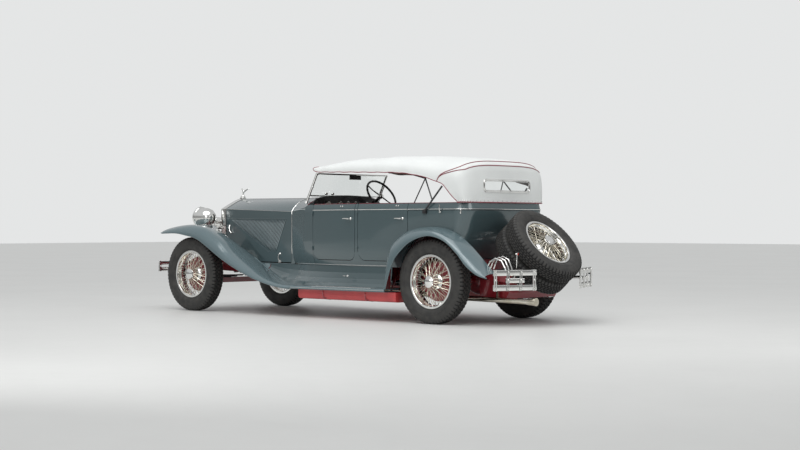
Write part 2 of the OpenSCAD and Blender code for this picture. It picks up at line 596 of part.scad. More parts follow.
door_low_z = 622;
post_half = 20;
function door_low(x) = x > 640 ? door_low_z : max(door_low_z, rear_wing_top(x - 9) + 18);
door_front_xs = steps(door_front_x - door_gap / 2, post_x + post_half + door_gap, 6);
door_rear_xs = steps(post_x - post_half - door_gap, door_rear_x + door_gap / 2, 10);
function door_heights(x) = concat([for (t = [0, 0.12, 0.3, 0.6]) mix(door_low(x), belt_z, t)], [belt_z, body_top_z]);
function arch_low(s) = let (x = plan_point(s)[0])
    s < 1.5 ? max(body_low_z, arch_z(x, arch_r)) : mix(arch_z(x, arch_r), tail_low_z, clamp01((s - 1.5) / 0.25));
tail_low_z = 646;
function body_heights(s) = let (x = plan_point(s)[0], low = arch_low(s),
    mid = max(low + 12, s > 1.4 ? 0 : door_low(x) - (x > 640 ? door_gap : 2 * door_gap)))
    concat([low, mid], [for (t = [0.12, 0.3, 0.6]) mix(mid, belt_z, t)], [belt_z, body_top_z]);
front_xs = concat([door_front_x + door_gap / 2 - seam], door_front_xs, [post_x + post_half]);
rear_xs = concat([post_x - post_half], door_rear_xs, [door_rear_x - door_gap / 2]);
quarter_xs = steps(door_rear_x - door_gap / 2, corner_x, 8);
half_places = concat([for (x = concat(front_xs, rear_xs, [for (i = [1:8]) quarter_xs[i]])) side_s(x)],
    [1.15, 1.3, 1.5, 1.6, 1.75, 2, 2.5, 3]);
body_places = concat(half_places, [for (i = [len(half_places) - 2:-1:0]) 6 - half_places[i]]);
front_end = len(front_xs) - 2;
rear_start = len(front_xs);
rear_end = rear_start + len(rear_xs) - 2;
last = len(body_places) - 2;
module body_tub() color(paint) union() {
    wall_panel(body_places, [for (s = body_places) body_heights(s > 3 ? 6 - s : s)], wall,
               [[0, front_end, 1, 9], [rear_start, rear_end, 1, 9],
                [last - front_end, last, 1, 9], [last - rear_end, last - rear_start, 1, 9]]);
    both_sides() door_hinge(post_x - post_half - door_gap / 2, -1);
}
module door(xs) color(paint)
    wall_panel([for (x = xs) side_s(x)], [for (x = xs) door_heights(x)], wall);
// Door hinges: a barrel outside the gap, on the fixed body ahead of it (side -1) or on the door behind it (side 1)
barrel_r = 7;
barrel_out = 8;                 // barrel's centre outside the skin
barrel_h = 22;
hinge_zs = [720, 1090];
function hinge_y(x) = half_w(x) + barrel_out;
module door_hinge(x, side) for (z = hinge_zs) {
    low = side < 0 ? z : z + barrel_h + 0.3;
    translate([x, hinge_y(x), low]) cylinder(h = barrel_h, r = barrel_r, $fn = 24);
    translate([x - (side > 0 ? 24 : 0), hinge_y(x) - barrel_out - 6, low]) cube([24, barrel_out + 2, barrel_h]);
}
module door_front() {
    door(door_front_xs);
    color(paint) door_hinge(door_front_x, 1);
}
module door_rear() {
    door(door_rear_xs);
    color(paint) door_hinge(post_x - post_half - door_gap / 2, 1);
}

floor_z = 552 + seam;
floor_t = 18;
pan_z = 700;
heel_x = 600;
house_y = 585;
module cabin_floor() color(iron) union() {
    intersection() {
        slab(-700, 700) polygon([[cowl_x - 32, floor_z], [cowl_x - 32, floor_z + floor_t],
            [heel_x, floor_z + floor_t], [heel_x, pan_z], [-176, pan_z], [-176, pan_z - 12], [heel_x - 12, pan_z - 12],
            [heel_x - 12, floor_z]]);
        linear_extrude(height = 900) polygon(concat(
            [for (x = steps(cowl_x - 32, 520, 8)) [x, half_w(x) - turn_under - wall - 6]], [[520, 585], [-240, 585],
             [-240, -585], [520, -585]],
            [for (x = steps(520, cowl_x - 32, 8)) [x, -(half_w(x) - turn_under - wall - 6)]]));
    }
    // Wheel houses
    both_sides() intersection() {
        slab(house_y - 6, body_half_w) difference() {
            translate([0, hub_z]) circle(r = arch_r + 8);
            translate([0, hub_z]) circle(r = arch_r);
        }
        translate([0, 0, pan_z - 12]) linear_extrude(height = 400) polygon(concat([[-170, 500], [500, 500]],
            [for (x = steps(500, -170, 6)) [x, half_w(x) - wall - 16]]));
    }
    both_sides() intersection() {
        slab(house_y - 6, house_y) translate([0, hub_z]) circle(r = arch_r + 8);
        translate([-170, 0, pan_z - 12]) cube([670, 700, 400]);
    }
}

screen_foot = [2006, 555, 1233.8];
screen_head = [1838, 555, 1554];
post_r = 13;
screen_lean = atan2(screen_foot[0] - screen_head[0], screen_head[2] - screen_foot[2]);
// Draws in the windscreen's plane: x is across the car and y runs up the glass from the posts' feet
module in_screen(t) translate([screen_foot[0], 0, screen_foot[2]]) rotate([0, -screen_lean, 0])
    rotate([90, 0, 90]) translate([0, 0, -t / 2]) linear_extrude(height = t) children();
screen_h = norm(screen_head - screen_foot);
screen_half = 540;              // half width and lower edge of the pane, which clears the cowl's crown
screen_low = 94;
module windscreen_frame() color(chrome) union() {
    both_sides() bar(screen_foot, screen_head, post_r);
    in_screen(18) difference() {
        translate([-screen_half - 14, screen_low - 14]) square([2 * screen_half + 28, screen_h - screen_low + 14]);
        translate([-screen_half, screen_low]) square([2 * screen_half, screen_h - screen_low - 14]);
    }
}
module windscreen_glass() color([0.7, 0.8, 0.8]) in_screen(6)
    translate([-screen_half + seam, screen_low + seam])
        square([2 * (screen_half - seam), screen_h - screen_low - 14 - 2 * seam]);

wheel_c = [1707, -350, 1339];
column_rake = 35;
column_dir = [-cos(column_rake), 0, sin(column_rake)];
dash_x = 1915;
module dashboard() color(iron) union() {
    translate([dash_x, 0, 0]) rotate([90, 0, 90]) linear_extrude(height = 25) polygon(both_halves(
        [[half_w(dash_x) - wall - 13, 990], [half_w(dash_x) - wall - 13, 1200], [530, 1240], [470, 1285], [340, 1310],
         [0, 1322]]));
    bar(wheel_c - 600 * column_dir, wheel_c - 39.5 * column_dir, 21);
}
module steering_wheel() color(iron) translate(wheel_c) rotate([0, column_rake - 90, 0]) union() {
    rotate_extrude() translate([215, 0]) circle(r = 13, $fn = 24);
    translate([0, 0, -39.1]) cylinder(h = 50, r = 30);
    for (a = [45:90:315]) rotate([0, 0, a]) translate([20, 0, -12]) rotate([0, 90, 0]) cylinder(h = 192, r = 8);
}

// A bench seat: [cushion rear x, cushion front x, top z, back lean, back top z, half width, base z]
module bench(rear, front, base, top, back_top, half) color(hide) union() {
    translate([rear, -half, base]) cube([front - rear, 2 * half, top - base]);
    slab(-half, half) polygon([[rear - 10, base], [rear + 130, top - 60], [rear + 60, back_top - 30],
        [rear + 20, back_top], [rear - 40, back_top], [rear - 80, back_top - 60], [rear - 60, base]]);
}
module front_seat() bench(960, 1520, floor_z + floor_t + seam, 880, 1214, 560);
module rear_seat() bench(-70, 500, pan_z + seam, 900, 1225, 560);

// ---------------------------------------------------------------- top

// Fabric top, from its front edge back and down to the body: the side edge, the middle and how square it is
// [side x, side y, side z, middle x, middle z, squareness]
top_rows = [
    [1850, 600, 1592, 1862, 1632, 3],
    [1750, 640, 1564, 1750, 1655, 3],
    [1382, 660, 1553, 1440, 1702, 3],
    [941, 665, 1541, 1050, 1717, 3],
    [516, 670, 1526, 620, 1720, 3],
    [206, 680, 1484, 250, 1699, 3],
    [40, 690, 1440, -20, 1680, 3],
    [-83, 700, 1404, -250, 1652, 3.2],
    [-130, 697, 1362, -318, 1622, 3.6],
    [-165, 690, 1320, -345, 1575, 4],
    [-200, 676, 1275, -352, 1480, 4.5],
    [-230, 658, 1240, -356, 1340, 5],
    [-250, 640, body_top_z + seam, rear_x + 4, body_top_z + seam, 5]
];
function top_line(r) = [for (t = steps(0, 180, 20)) let (e = 2 / r[5], c = pow(abs(cos(t)), e), s = pow(sin(t), e))
    [mix(r[0], r[3], s), sign(cos(t)) * r[1] * c, mix(r[2], r[4], s)]];
top_grid = [for (r = smooth(top_rows, 2)) top_line(r)];
window_z = 1385;
module top_cover() color(cloth) difference() {
    sheet(top_grid, moved_in(top_grid, cloth_t));
    translate([rear_x - 30, -window_size[0], window_z - window_size[1] / 2]) cube([60, 2 * window_size[0], window_size[1]]);
}
module rear_window() color(chrome) translate([rear_x - 4, 0, window_z]) union() {
    w = window_size[0] - seam;
    h = window_size[1] / 2 - seam;
    difference() {
        translate([0, -w, -h]) cube([14, 2 * w, 2 * h]);
        translate([-1, -w + 14, -h + 14]) cube([16, 2 * w - 28, 2 * h - 28]);
    }
    translate([4, -w + 10, -h + 10]) cube([4, 2 * w - 20, 2 * h - 20]);
}
// A roof bow under the fabric, at a station of the table above, from one side's edge to the other
module roof_bow(r) {
    function under(side, down) = [for (p = top_line(r)) [p[1] * (r[1] - side) / r[1], p[2] - down]];
    a = under(14, cloth_t + 3);
    b = under(36, cloth_t + 25);
    translate([r[0] - 13, 0, 0]) rotate([90, 0, 90]) linear_extrude(height = 26)
        polygon(concat([for (i = [2:18]) a[i]], [for (i = [18:-1:2]) b[i]]));
}
arm_y = 625;
arm_points = [[200, arm_y, 1463], [722, 618, 1588], [1124, 612, 1594], [1800, 570, 1588]];
iron_foot = [139, 711, 1126];
iron_head = [-76, 684, 1378];
function top_row(x) = [for (c = [0:5]) look(top_rows, x, c)];
module top_irons() color(iron) union() {
    for (x = [1800, 1124, 722]) roof_bow(top_row(x));
    both_sides() {
        bar(iron_foot, iron_head, 9);
        bar(mix(iron_foot, iron_head, 0.45), arm_points[0], 7);
        bar([310, 670, body_top_z + 6.5], arm_points[0], 6);
        for (k = [0:2]) bar(arm_points[k], arm_points[k + 1], 8);
        for (p = arm_points) translate(p) sphere(r = 11, $fn = 16);
        translate([iron_foot[0] - 22, half_w(iron_foot[0]) + 2.4, 1105]) cube([44, 20, 42]);
    }
}

// ---------------------------------------------------------------- tank and exhaust

module fuel_tank() color(frame_red) slab(-400, 400) polygon([[-330, 300], [-330, 445.5], [-700, 445.5],
    [-700, 320], [-660, 262], [-600, 250], [-390, 250], [-345, 265]]);
module exhaust() color(iron) union() {
    bar([2450, 150 + 28 + seam, 600], [2450, 230, 392], 28);
    bar([2450, 230, 400], [1800, 250, 300], 28);
    bar([1820, 250, 300], [700, 300, 300], 28);
    bar([1650, 256, 300], [1050, 284, 300], 75);
    bar([720, 300, 300], [200, 440, 262], 26);
    bar([210, 440, 262], [-960, 440, 245], 26);
    translate([-960, 440, 245]) rotate([0, -90, 0]) cylinder(h = 110, r1 = 30, r2 = 40);
    translate([-600, 430, 255]) cube([20, 20, rail_low(-590) - 1 - 255]);
}

at_rear_axle() frame_rails();
at_rear_axle() engine_block();
at_rear_axle() front_axle();
at_rear_axle() rear_axle();
at_rear_axle() leaf_springs();
at_rear_axle() knuckle();  // knuckle_left
at_rear_axle() mirror([0, 1, 0]) knuckle();  // knuckle_right
at_rear_axle() on_axle(wheelbase, 1) running_wheel();  // wheel_front_left
at_rear_axle() on_axle(wheelbase, -1) running_wheel();  // wheel_front_right
at_rear_axle() on_axle(0, 1) running_wheel();  // wheel_rear_left
at_rear_axle() on_axle(0, -1) running_wheel();  // wheel_rear_right
at_rear_axle() on_axle(wheelbase, 1) tyre_shape();  // tyre_front_left
at_rear_axle() on_axle(wheelbase, -1) tyre_shape();  // tyre_front_right
at_rear_axle() on_axle(0, 1) tyre_shape();  // tyre_rear_left
at_rear_axle() on_axle(0, -1) tyre_shape();  // tyre_rear_right
at_rear_axle() spare_wheels();
at_rear_axle() spare_tyres();
at_rear_axle() spare_carrier();
at_rear_axle() radiator_shell();
at_rear_axle() radiator_core();
at_rear_axle() headlamps();
at_rear_axle() front_bumper();
at_rear_axle() rear_bumper();
at_rear_axle() front_wings();
at_rear_axle() rear_wings();
at_rear_axle() running_boards();
at_rear_axle() side_valances();
at_rear_axle() chassis_trays();
at_rear_axle() rear_apron();
at_rear_axle() bonnet_hinge();
at_rear_axle() bonnet_top();  // bonnet_top_left
at_rear_axle() mirror([0, 1, 0]) bonnet_top();  // bonnet_top_right
at_rear_axle() bonnet_side();  // bonnet_side_left
at_rear_axle() mirror([0, 1, 0]) bonnet_side();  // bonnet_side_right
at_rear_axle() cowl();
at_rear_axle() bulkhead();
at_rear_axle() body_tub();
at_rear_axle() cabin_floor();
at_rear_axle() door_front();  // door_front_left
at_rear_axle() mirror([0, 1, 0]) door_front();  // door_front_right
at_rear_axle() door_rear();  // door_rear_left
at_rear_axle() mirror([0, 1, 0]) door_rear();  // door_rear_right
at_rear_axle() windscreen_frame();
at_rear_axle() windscreen_glass();
at_rear_axle() dashboard();
at_rear_axle() steering_wheel();
at_rear_axle() front_seat();
at_rear_axle() rear_seat();
at_rear_axle() top_cover();
at_rear_axle() top_irons();
at_rear_axle() rear_window();
at_rear_axle() fuel_tank();
at_rear_axle() exhaust();
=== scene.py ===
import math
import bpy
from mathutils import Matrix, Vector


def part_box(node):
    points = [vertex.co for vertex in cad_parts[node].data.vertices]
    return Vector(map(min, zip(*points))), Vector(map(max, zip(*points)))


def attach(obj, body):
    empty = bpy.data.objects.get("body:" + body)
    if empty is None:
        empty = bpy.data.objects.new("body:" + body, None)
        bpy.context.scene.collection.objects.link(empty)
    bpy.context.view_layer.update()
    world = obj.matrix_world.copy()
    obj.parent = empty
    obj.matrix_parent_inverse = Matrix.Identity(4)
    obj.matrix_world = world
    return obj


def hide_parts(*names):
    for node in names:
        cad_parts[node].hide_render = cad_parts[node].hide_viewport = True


bl_info = {
    "name": "Touring Car",
    "version": (1, 0, 0),
    "blender": (4, 5, 0),
    "location": "3D Viewport > Sidebar > Touring Car",
    "description": "Finishes and detailed pieces of a 1920s touring car with a folding top",
    "category": "Object",
}

import bmesh
import bpy
from mathutils import Vector

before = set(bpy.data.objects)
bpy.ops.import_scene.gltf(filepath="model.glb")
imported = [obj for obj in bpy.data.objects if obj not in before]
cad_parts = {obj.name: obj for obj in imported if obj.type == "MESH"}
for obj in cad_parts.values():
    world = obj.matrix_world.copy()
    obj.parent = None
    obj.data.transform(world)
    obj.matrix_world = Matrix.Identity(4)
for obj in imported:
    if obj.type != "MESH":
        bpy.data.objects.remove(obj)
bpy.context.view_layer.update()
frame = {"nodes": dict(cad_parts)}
REAR_X = sum(corner.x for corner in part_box("wheel_rear_left")) / 2

# Sizes in millimetres, stations from the rear axle
WHEELBASE = 3700
HUB_Z = 425
TYRE_Y = 710
WING_Y = 865
BODY_LOW, TURN_Z, BELT, BODY_TOP = 556, 760, 1150, 1210
COWL_X, SCUTTLE_X, DOOR_FRONT, POST_X, DOOR_REAR, CORNER_X = 2300, 1950, 1833, 1085, 368, -190
CORNER_R, CORNER_W, WALL, GAP = 170, 660, 42, 6
# Half of the post between the doors, from its middle to a door, and from a door's edge to its nominal place
POST_HALF, POST_DOOR, EDGE = 20, 26, 3
SHELL_X = 3630
SPARE, SPARE_LEAN, SPARE_PITCH = Vector((-830, 0, 780)), math.radians(41), 180
SPARE_AXIS = Vector((-math.cos(SPARE_LEAN), 0, math.sin(SPARE_LEAN)))
BOARD_TOP, BOARD_LOW, ARCH_R = 338, 304, 500
WINDOW_Z, WINDOW_W, WINDOW_H = 1385, 375, 65
COLUMN_RAKE = math.radians(35)
HAND_RIM = 198
SCREEN_POST = 555
MATERIALS = {}


# ---------------------------------------------------------------- shapes

def mix(a, b, t):
    return a + (b - a) * t


def steps(a, b, n):
    return [mix(a, b, i / n) for i in range(n + 1)]


def look(table, x, col):
    """A value between the rows of a table whose first column falls."""
    for a, b in zip(table, table[1:]):
        if x >= b[0] or b is table[-1]:
            return mix(a[col], b[col], min(1, max(0, (x - a[0]) / (b[0] - a[0]))))


def smooth(table, count):
    """The table's rows with count - 1 smooth ones between neighbours."""
    last = len(table) - 1
    rows = []
    for i in range(last):
        a, b, c, d = table[max(i - 1, 0)], table[i], table[i + 1], table[min(i + 2, last)]
        for k in range(count):
            t = k / count
            rows.append([0.5 * (2 * q + (r - p) * t + (2 * p - 5 * q + 4 * r - s) * t * t
                                + (3 * q - p - 3 * r + s) * t ** 3) for p, q, r, s in zip(a, b, c, d)])
    return rows + [list(table[last])]


class Shape:
    """Points in millimetres from the rear axle, with faces and their finishes."""

    def __init__(self):
        self.points, self.faces, self.finish = [], [], []

    def add(self, points, faces, finish=0):
        first = len(self.points)
        self.points += [Vector(p) for p in points]
        self.faces += [[first + i for i in f] for f in faces]
        self.finish += finish if isinstance(finish, list) else [finish] * len(faces)

    def plate(self, outer, inner, finish=(0, 0), skip=None):
        """A closed sheet between two grids of the same size."""
        h, w = len(outer), len(outer[0])
        n = h * w
        faces, marks = [], []

        def kept(i, j):
            return 0 <= i < h - 1 and 0 <= j < w - 1 and not (skip and skip(i, j))

        for i in range(h - 1):
            for j in range(w - 1):
                if not kept(i, j):
                    continue
                a, b, c, d = i * w + j, i * w + j + 1, (i + 1) * w + j + 1, (i + 1) * w + j
                faces += [[a, b, c, d], [n + d, n + c, n + b, n + a]]
                marks += list(finish)
                for ok, p, q in ((kept(i - 1, j), b, a), (kept(i + 1, j), d, c), (kept(i, j - 1), a, d),
                                 (kept(i, j + 1), c, b)):
                    if not ok:
                        faces.append([p, q, n + q, n + p])
                        marks.append(finish[0])
        self.add([p for r in outer for p in r] + [p for r in inner for p in r], faces, marks)

    def tube(self, path, r, sides=10, finish=0, closed=False, flat=1.0, up=None):
        """A round or flattened bar along a path, of one radius or one for each point."""
        path = [Vector(p) for p in path]
        n = len(path)
        radii = r if isinstance(r, (list, tuple)) else [r] * n
        rings, side = [], None
        for i in range(n):
            ahead = path[(i + 1) % n] if closed or i < n - 1 else path[i]
            back = path[i - 1] if closed or i > 0 else path[i]
            d = (ahead - back).normalized()
            if side is None:
                ref = Vector(up) if up else (Vector((0, 0, 1)) if abs(d.z) < 0.9 else Vector((0, 1, 0)))
                side = d.cross(ref)
            side = (side - d * side.dot(d)).normalized()
            lift = side.cross(d)
            rings.append([path[i] + radii[i] * (side * math.cos(2 * math.pi * k / sides) * flat
                                                + lift * math.sin(2 * math.pi * k / sides)) for k in range(sides)])
        faces = [[i * sides + k, i * sides + (k + 1) % sides, (i + 1) % n * sides + (k + 1) % sides,
                  (i + 1) % n * sides + k] for i in range(n if closed else n - 1) for k in range(sides)]
        if not closed:
            faces += [list(range(sides))[::-1], [(n - 1) * sides + k for k in range(sides)]]
        self.add([p for ring in rings for p in ring], faces, finish)

    def lathe(self, profile, centre, axis, finish=0, count=48, ring=False, dent=None):
        """A profile of [radius, offset] turned about an axis. ring closes it on itself."""
        axis = Vector(axis).normalized()
        e1 = axis.cross(Vector((0, 0, 1)) if abs(axis.z) < 0.99 else Vector((1, 0, 0))).normalized()
        e2 = axis.cross(e1)
        m = len(profile)
        points = []
        for k in range(count):
            a = 2 * math.pi * k / count
            spoke = e1 * math.cos(a) + e2 * math.sin(a)
            for j, (radius, offset) in enumerate(profile):
                points.append(Vector(centre) + spoke * (radius - (dent(k, j) if dent else 0)) + axis * offset)
        faces = [[k * m + j, k * m + (j + 1) % m, (k + 1) % count * m + (j + 1) % m, (k + 1) % count * m + j]
                 for k in range(count) for j in range(m if ring else m - 1)]
        if callable(finish):
            finish = [finish(k, j) for k in range(count) for j in range(m if ring else m - 1)]
        self.add(points, faces, finish)

    def block(self, low, high, finish=0, top_in=0):
        """A box whose upper face may be drawn in."""
        (x0, y0, z0), (x1, y1, z1) = low, high
        t = top_in
        points = [(x0, y0, z0), (x1, y0, z0), (x1, y1, z0), (x0, y1, z0),
                  (x0 + t, y0 + t, z1), (x1 - t, y0 + t, z1), (x1 - t, y1 - t, z1), (x0 + t, y1 - t, z1)]
        self.add(points, [[0, 3, 2, 1], [4, 5, 6, 7], [0, 1, 5, 4], [1, 2, 6, 5], [2, 3, 7, 6], [3, 0, 4, 7]], finish)

    def both_sides(self):
        """Adds the same on the right side of the car."""
        self.add([(p.x, -p.y, p.z) for p in self.points], [f[::-1] for f in self.faces], list(self.finish))
        return self

    def on_right(self):
        """Moves it to the right side of the car."""
        self.points = [Vector((p.x, -p.y, p.z)) for p in self.points]
        self.faces = [f[::-1] for f in self.faces]
        return self

    def build(self, name, finishes, body="chassis", slot=None, replaces=(), bevel=0.0, angle=35):
        mesh = bpy.data.meshes.new(name)
        mesh.from_pydata([(p.x / 1000 + REAR_X, p.y / 1000, p.z / 1000) for p in self.points], [], self.faces)
        for finish in finishes:
            mesh.materials.append(MATERIALS[finish])
        mesh.polygons.foreach_set("material_index", self.finish)
        work = bmesh.new()
        work.from_mesh(mesh)
        bmesh.ops.remove_doubles(work, verts=work.verts, dist=0.00002)
        bmesh.ops.recalc_face_normals(work, faces=work.faces)
        work.to_mesh(mesh)
        work.free()
        mesh.shade_smooth()
        mesh.set_sharp_from_angle(angle=math.radians(angle))
        piece = bpy.data.objects.new(name, mesh)
        bpy.context.scene.collection.objects.link(piece)
        if bevel:
            edge = piece.modifiers.new("Rounded edges", "BEVEL")
            edge.width = bevel / 1000
            edge.segments = 2
            edge.limit_method = "ANGLE"
        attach(piece, body)
        if replaces:
            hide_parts(*replaces)
        return piece


def normal_at(grid, i, j):
    """The normal of a grid whose rows run left to right and columns up, seen from outside."""
    h, w = len(grid) - 1, len(grid[0]) - 1
    u = grid[min(i + 1, h)][j] - grid[max(i - 1, 0)][j]
    v = grid[i][min(j + 1, w)] - grid[i][max(j - 1, 0)]
    n = v.cross(u)
    return -n.normalized() if n.length > 1e-6 else Vector((0, 0, 1))


def moved_in(grid, t):
    return [[p - t * normal_at(grid, i, j) for j, p in enumerate(row)] for i, row in enumerate(grid)]


# ---------------------------------------------------------------- body form

def half_w(x):
    return 725 - 225 * ((x - 900) / 1400) ** 2 if x > 900 else 725 - 65 * ((900 - x) / 1090) ** 2


def side_in(z):
    if z < TURN_Z:
        return 42 * ((TURN_Z - z) / (TURN_Z - BODY_LOW)) ** 2
    return 14 * (z - BELT) / (BODY_TOP - BELT) if z > BELT else 0


def tail_in(z):
    return 200 * ((BELT - z) / (BELT - BODY_LOW)) ** 1.5 if z < BELT else side_in(z)


def side_s(x):
    return (COWL_X - x) / (COWL_X - CORNER_X)


def skin(s, z, depth=0.0):
    """A point of the body: s runs from the cowl (0) to the corner (1), round it (2) and to the middle (3)."""
    if s > 3:
        p = skin(6 - s, z, depth)
        return Vector((p.x, -p.y, p.z))
    a = math.radians(90 * s)
    if s <= 1:
        x = mix(COWL_X, CORNER_X, s)
        g = (half_w(x + 1) - half_w(x - 1)) / 2
        p, n = Vector((x, half_w(x))), Vector((-g, 1)).normalized()
    elif s <= 2:
        p = Vector((CORNER_X + CORNER_R * math.cos(a), CORNER_W - CORNER_R + CORNER_R * math.sin(a)))
        n = Vector((math.cos(a), math.sin(a)))
    else:
        p, n = Vector((CORNER_X - CORNER_R, (CORNER_W - CORNER_R) * (3 - s))), Vector((-1, 0))
    tail = max(0, -n.x)
    p = p - n * (depth + side_in(z) * (1 - tail) + tail_in(z) * tail)
    return Vector((p.x, p.y, z))


NOSE = [
    [SHELL_X, 300, 1178, 1304, 1.3],
    [COWL_X, 500, 1140, 1296, 4],
    [2010, half_w(2010), 1180, 1300, 4],
    [SCUTTLE_X, half_w(SCUTTLE_X), 1208, 1300, 4],
    [1836, half_w(1833), 1210, 1300, 4],
]
FRONT_WING = [
    [4130, 893, 4200, 745, 905, 4120, 480, 905],
    [4043, 897, 4120, 742, 943, 4045, 465, 945],
    [3866, 898, 3930, 740, 978, 3870, 455, 983],
    [3689, 875, 3715, 740, 994, 3690, 450, 985],
    [3553, 852, 3561, 740, 979, 3560, 450, 925],
    [3419, 802, 3420, 740, 938, 3420, 450, 860],
    [3175, 669, 3200, 740, 830, 3200, 452, 750],
    [2988, 575, 3000, 740, 690, 3000, 455, 645],
    [2714, 464, 2714, 750, 540, 2714, 480, 500],
    [2447, 381, 2447, 770, 425, 2447, 560, 405],
    [2184, 327, 2184, 800, 358, 2184, 680, 352],
    [1960, 306, 1960, 825, 338, 1960, 770, 338],
]
REAR_WING = [
    [545, 336.9, 600, 336.9],
    [500, 480, 592, 560],
    [450, 600, 562, 720],
    [396, 676, 500, 830],
    [250, 800, 315, 938],
    [84, 870, 108, 972],
    [-78, 887, -80, 966],
    [-259, 834, -260, 903],
    [-416, 717, -410, 808],
    [-533, 599, -550, 690],
    [-668, 513, -660, 590],
    [-790, 480, -740, 520],
]
TOP = [
    [1850, 600, 1592, 1862, 1632, 3],
    [1750, 640, 1564, 1750, 1655, 3],
    [1382, 660, 1553, 1440, 1702, 3],
    [941, 665, 1541, 1050, 1717, 3],
    [516, 670, 1526, 620, 1720, 3],
    [206, 680, 1484, 250, 1699, 3],
    [40, 690, 1440, -20, 1680, 3],
    [-83, 700, 1404, -250, 1652, 3.2],
    [-130, 697, 1362, -318, 1622, 3.6],
    [-165, 690, 1320, -345, 1575, 4],
    [-200, 676, 1275, -352, 1480, 4.5],
    [-230, 658, 1240, -356, 1340, 5],
    [-250, 640, 1210.5, -356, 1210.5, 5],
]


def nose_point(x, t, grow=0.0, low=BODY_LOW + 0.5):
    """Left half of a nose section: t runs up the side from 0 to 1, then over the crown to 2."""
    w, zs, zt, p = (look(NOSE, x, c) for c in (1, 2, 3, 4))
    w, zt = w + grow, zt + grow
    full = 1 if x < COWL_X else 0
    if t <= 1:
        z = mix(low, zs, t)
        return Vector((x, w - full * side_in(z), z))
    v = w - full * side_in(zs)
    y = v * math.cos(math.pi / 2 * (t - 1))
    return Vector((x, y, zs + (zt - zs) * (1 - (max(y, 0) / v) ** p)))


def rear_wing_top(x):
    for a, b in zip(REAR_WING, REAR_WING[1:7]):
        if b[2] <= x:
            return mix(a[3], b[3], min(1, max(0, (a[2] - x) / (a[2] - b[2]))))
    return 966


def arch_z(x):
    return HUB_Z + math.sqrt(ARCH_R ** 2 - x * x) if abs(x) < ARCH_R else 0


CORNER_ROUND = 95    # radius of a door's lower corner
REAR_FOOT = 640      # behind this station the rear door's foot follows the wing


def rounded(d):
    """How far a lower corner of a door has risen at the distance d from its edge."""
    return CORNER_ROUND - math.sqrt(CORNER_ROUND ** 2 - (CORNER_ROUND - d) ** 2) if d < CORNER_ROUND else 0


def door_low(x):
    low = 622 if x > REAR_FOOT else max(622, rear_wing_top(x - 9) + 18)
    if x > POST_X:
        return low + rounded(max(0, DOOR_FRONT - EDGE - x)) + rounded(max(0, x - POST_X - POST_DOOR))
    return low + rounded(max(0, POST_X - POST_DOOR - x))


# ---------------------------------------------------------------- finishes

def sized_noise(nodes, scale, detail=3.0):
    noise = nodes.new("ShaderNodeTexNoise")
    noise.inputs["Scale"].default_value = scale
    noise.inputs["Detail"].default_value = detail
    return noise


def finish(name, dark, light, rough=(0.3, 0.4), metal=0.0, coat=0.0, patch=3.0, grain=400.0, bump=0.1,
           depth=0.0005, weave=0.0, sheen=0.0, clear=0.0):
    """A procedural finish whose colour and gloss vary over patches, with a fine grain or weave as bump."""
    material = bpy.data.materials.new(name)
    material.use_nodes = True
    nodes, links = material.node_tree.nodes, material.node_tree.links
    shader = nodes["Principled BSDF"]
    place = nodes.new("ShaderNodeTexCoord")
    clouds = sized_noise(nodes, patch)
    links.new(place.outputs["Object"], clouds.inputs["Vector"])
    ramp = nodes.new("ShaderNodeValToRGB")
    ramp.color_ramp.elements[0].position = 0.35
    ramp.color_ramp.elements[1].position = 0.65
    ramp.color_ramp.elements[0].color = (*dark, 1)
    ramp.color_ramp.elements[1].color = (*light, 1)
    links.new(clouds.outputs["Fac"], ramp.inputs["Fac"])
    links.new(ramp.outputs["Color"], shader.inputs["Base Color"])
    gloss = nodes.new("ShaderNodeMapRange")
    gloss.inputs["To Min"].default_value, gloss.inputs["To Max"].default_value = rough
    wear = sized_noise(nodes, patch * 9)
    links.new(place.outputs["Object"], wear.inputs["Vector"])
    links.new(wear.outputs["Fac"], gloss.inputs["Value"])
    links.new(gloss.outputs["Result"], shader.inputs["Roughness"])
    relief = nodes.new("ShaderNodeBump")
    relief.inputs["Strength"].default_value = bump
    relief.inputs["Distance"].default_value = depth
    if weave:
        threads = []
        for axis in ("X", "Y"):
            wave = nodes.new("ShaderNodeTexWave")
            wave.bands_direction = axis
            wave.inputs["Scale"].default_value = weave
            wave.inputs["Distortion"].default_value = 0.6
            links.new(place.outputs["Object"], wave.inputs["Vector"])
            threads.append(wave.outputs["Fac"])
        cross = nodes.new("ShaderNodeMath")
        cross.operation = "MAXIMUM"
        links.new(threads[0], cross.inputs[0])
        links.new(threads[1], cross.inputs[1])
        links.new(cross.outputs["Value"], relief.inputs["Height"])
    else:
        fine = sized_noise(nodes, grain, 2.0)
        links.new(place.outputs["Object"], fine.inputs["Vector"])
        links.new(fine.outputs["Fac"], relief.inputs["Height"])
    links.new(relief.outputs["Normal"], shader.inputs["Normal"])
    shader.inputs["Metallic"].default_value = metal
    shader.inputs["Coat Weight"].default_value = coat
    shader.inputs["Coat Roughness"].default_value = 0.04
    shader.inputs["Sheen Weight"].default_value = sheen
    shader.inputs["Transmission Weight"].default_value = clear
    MATERIALS[name] = material


def tint(colour, k):
    return tuple(min(1.0, c * k) for c in colour)


def lacquer(name, colour, gloss=0.22):
    finish(name, tint(colour, 0.97), tint(colour, 1.03), (gloss, gloss + 0.05), metal=0.15, coat=1.0, patch=0.9,
           grain=9, bump=0.003)


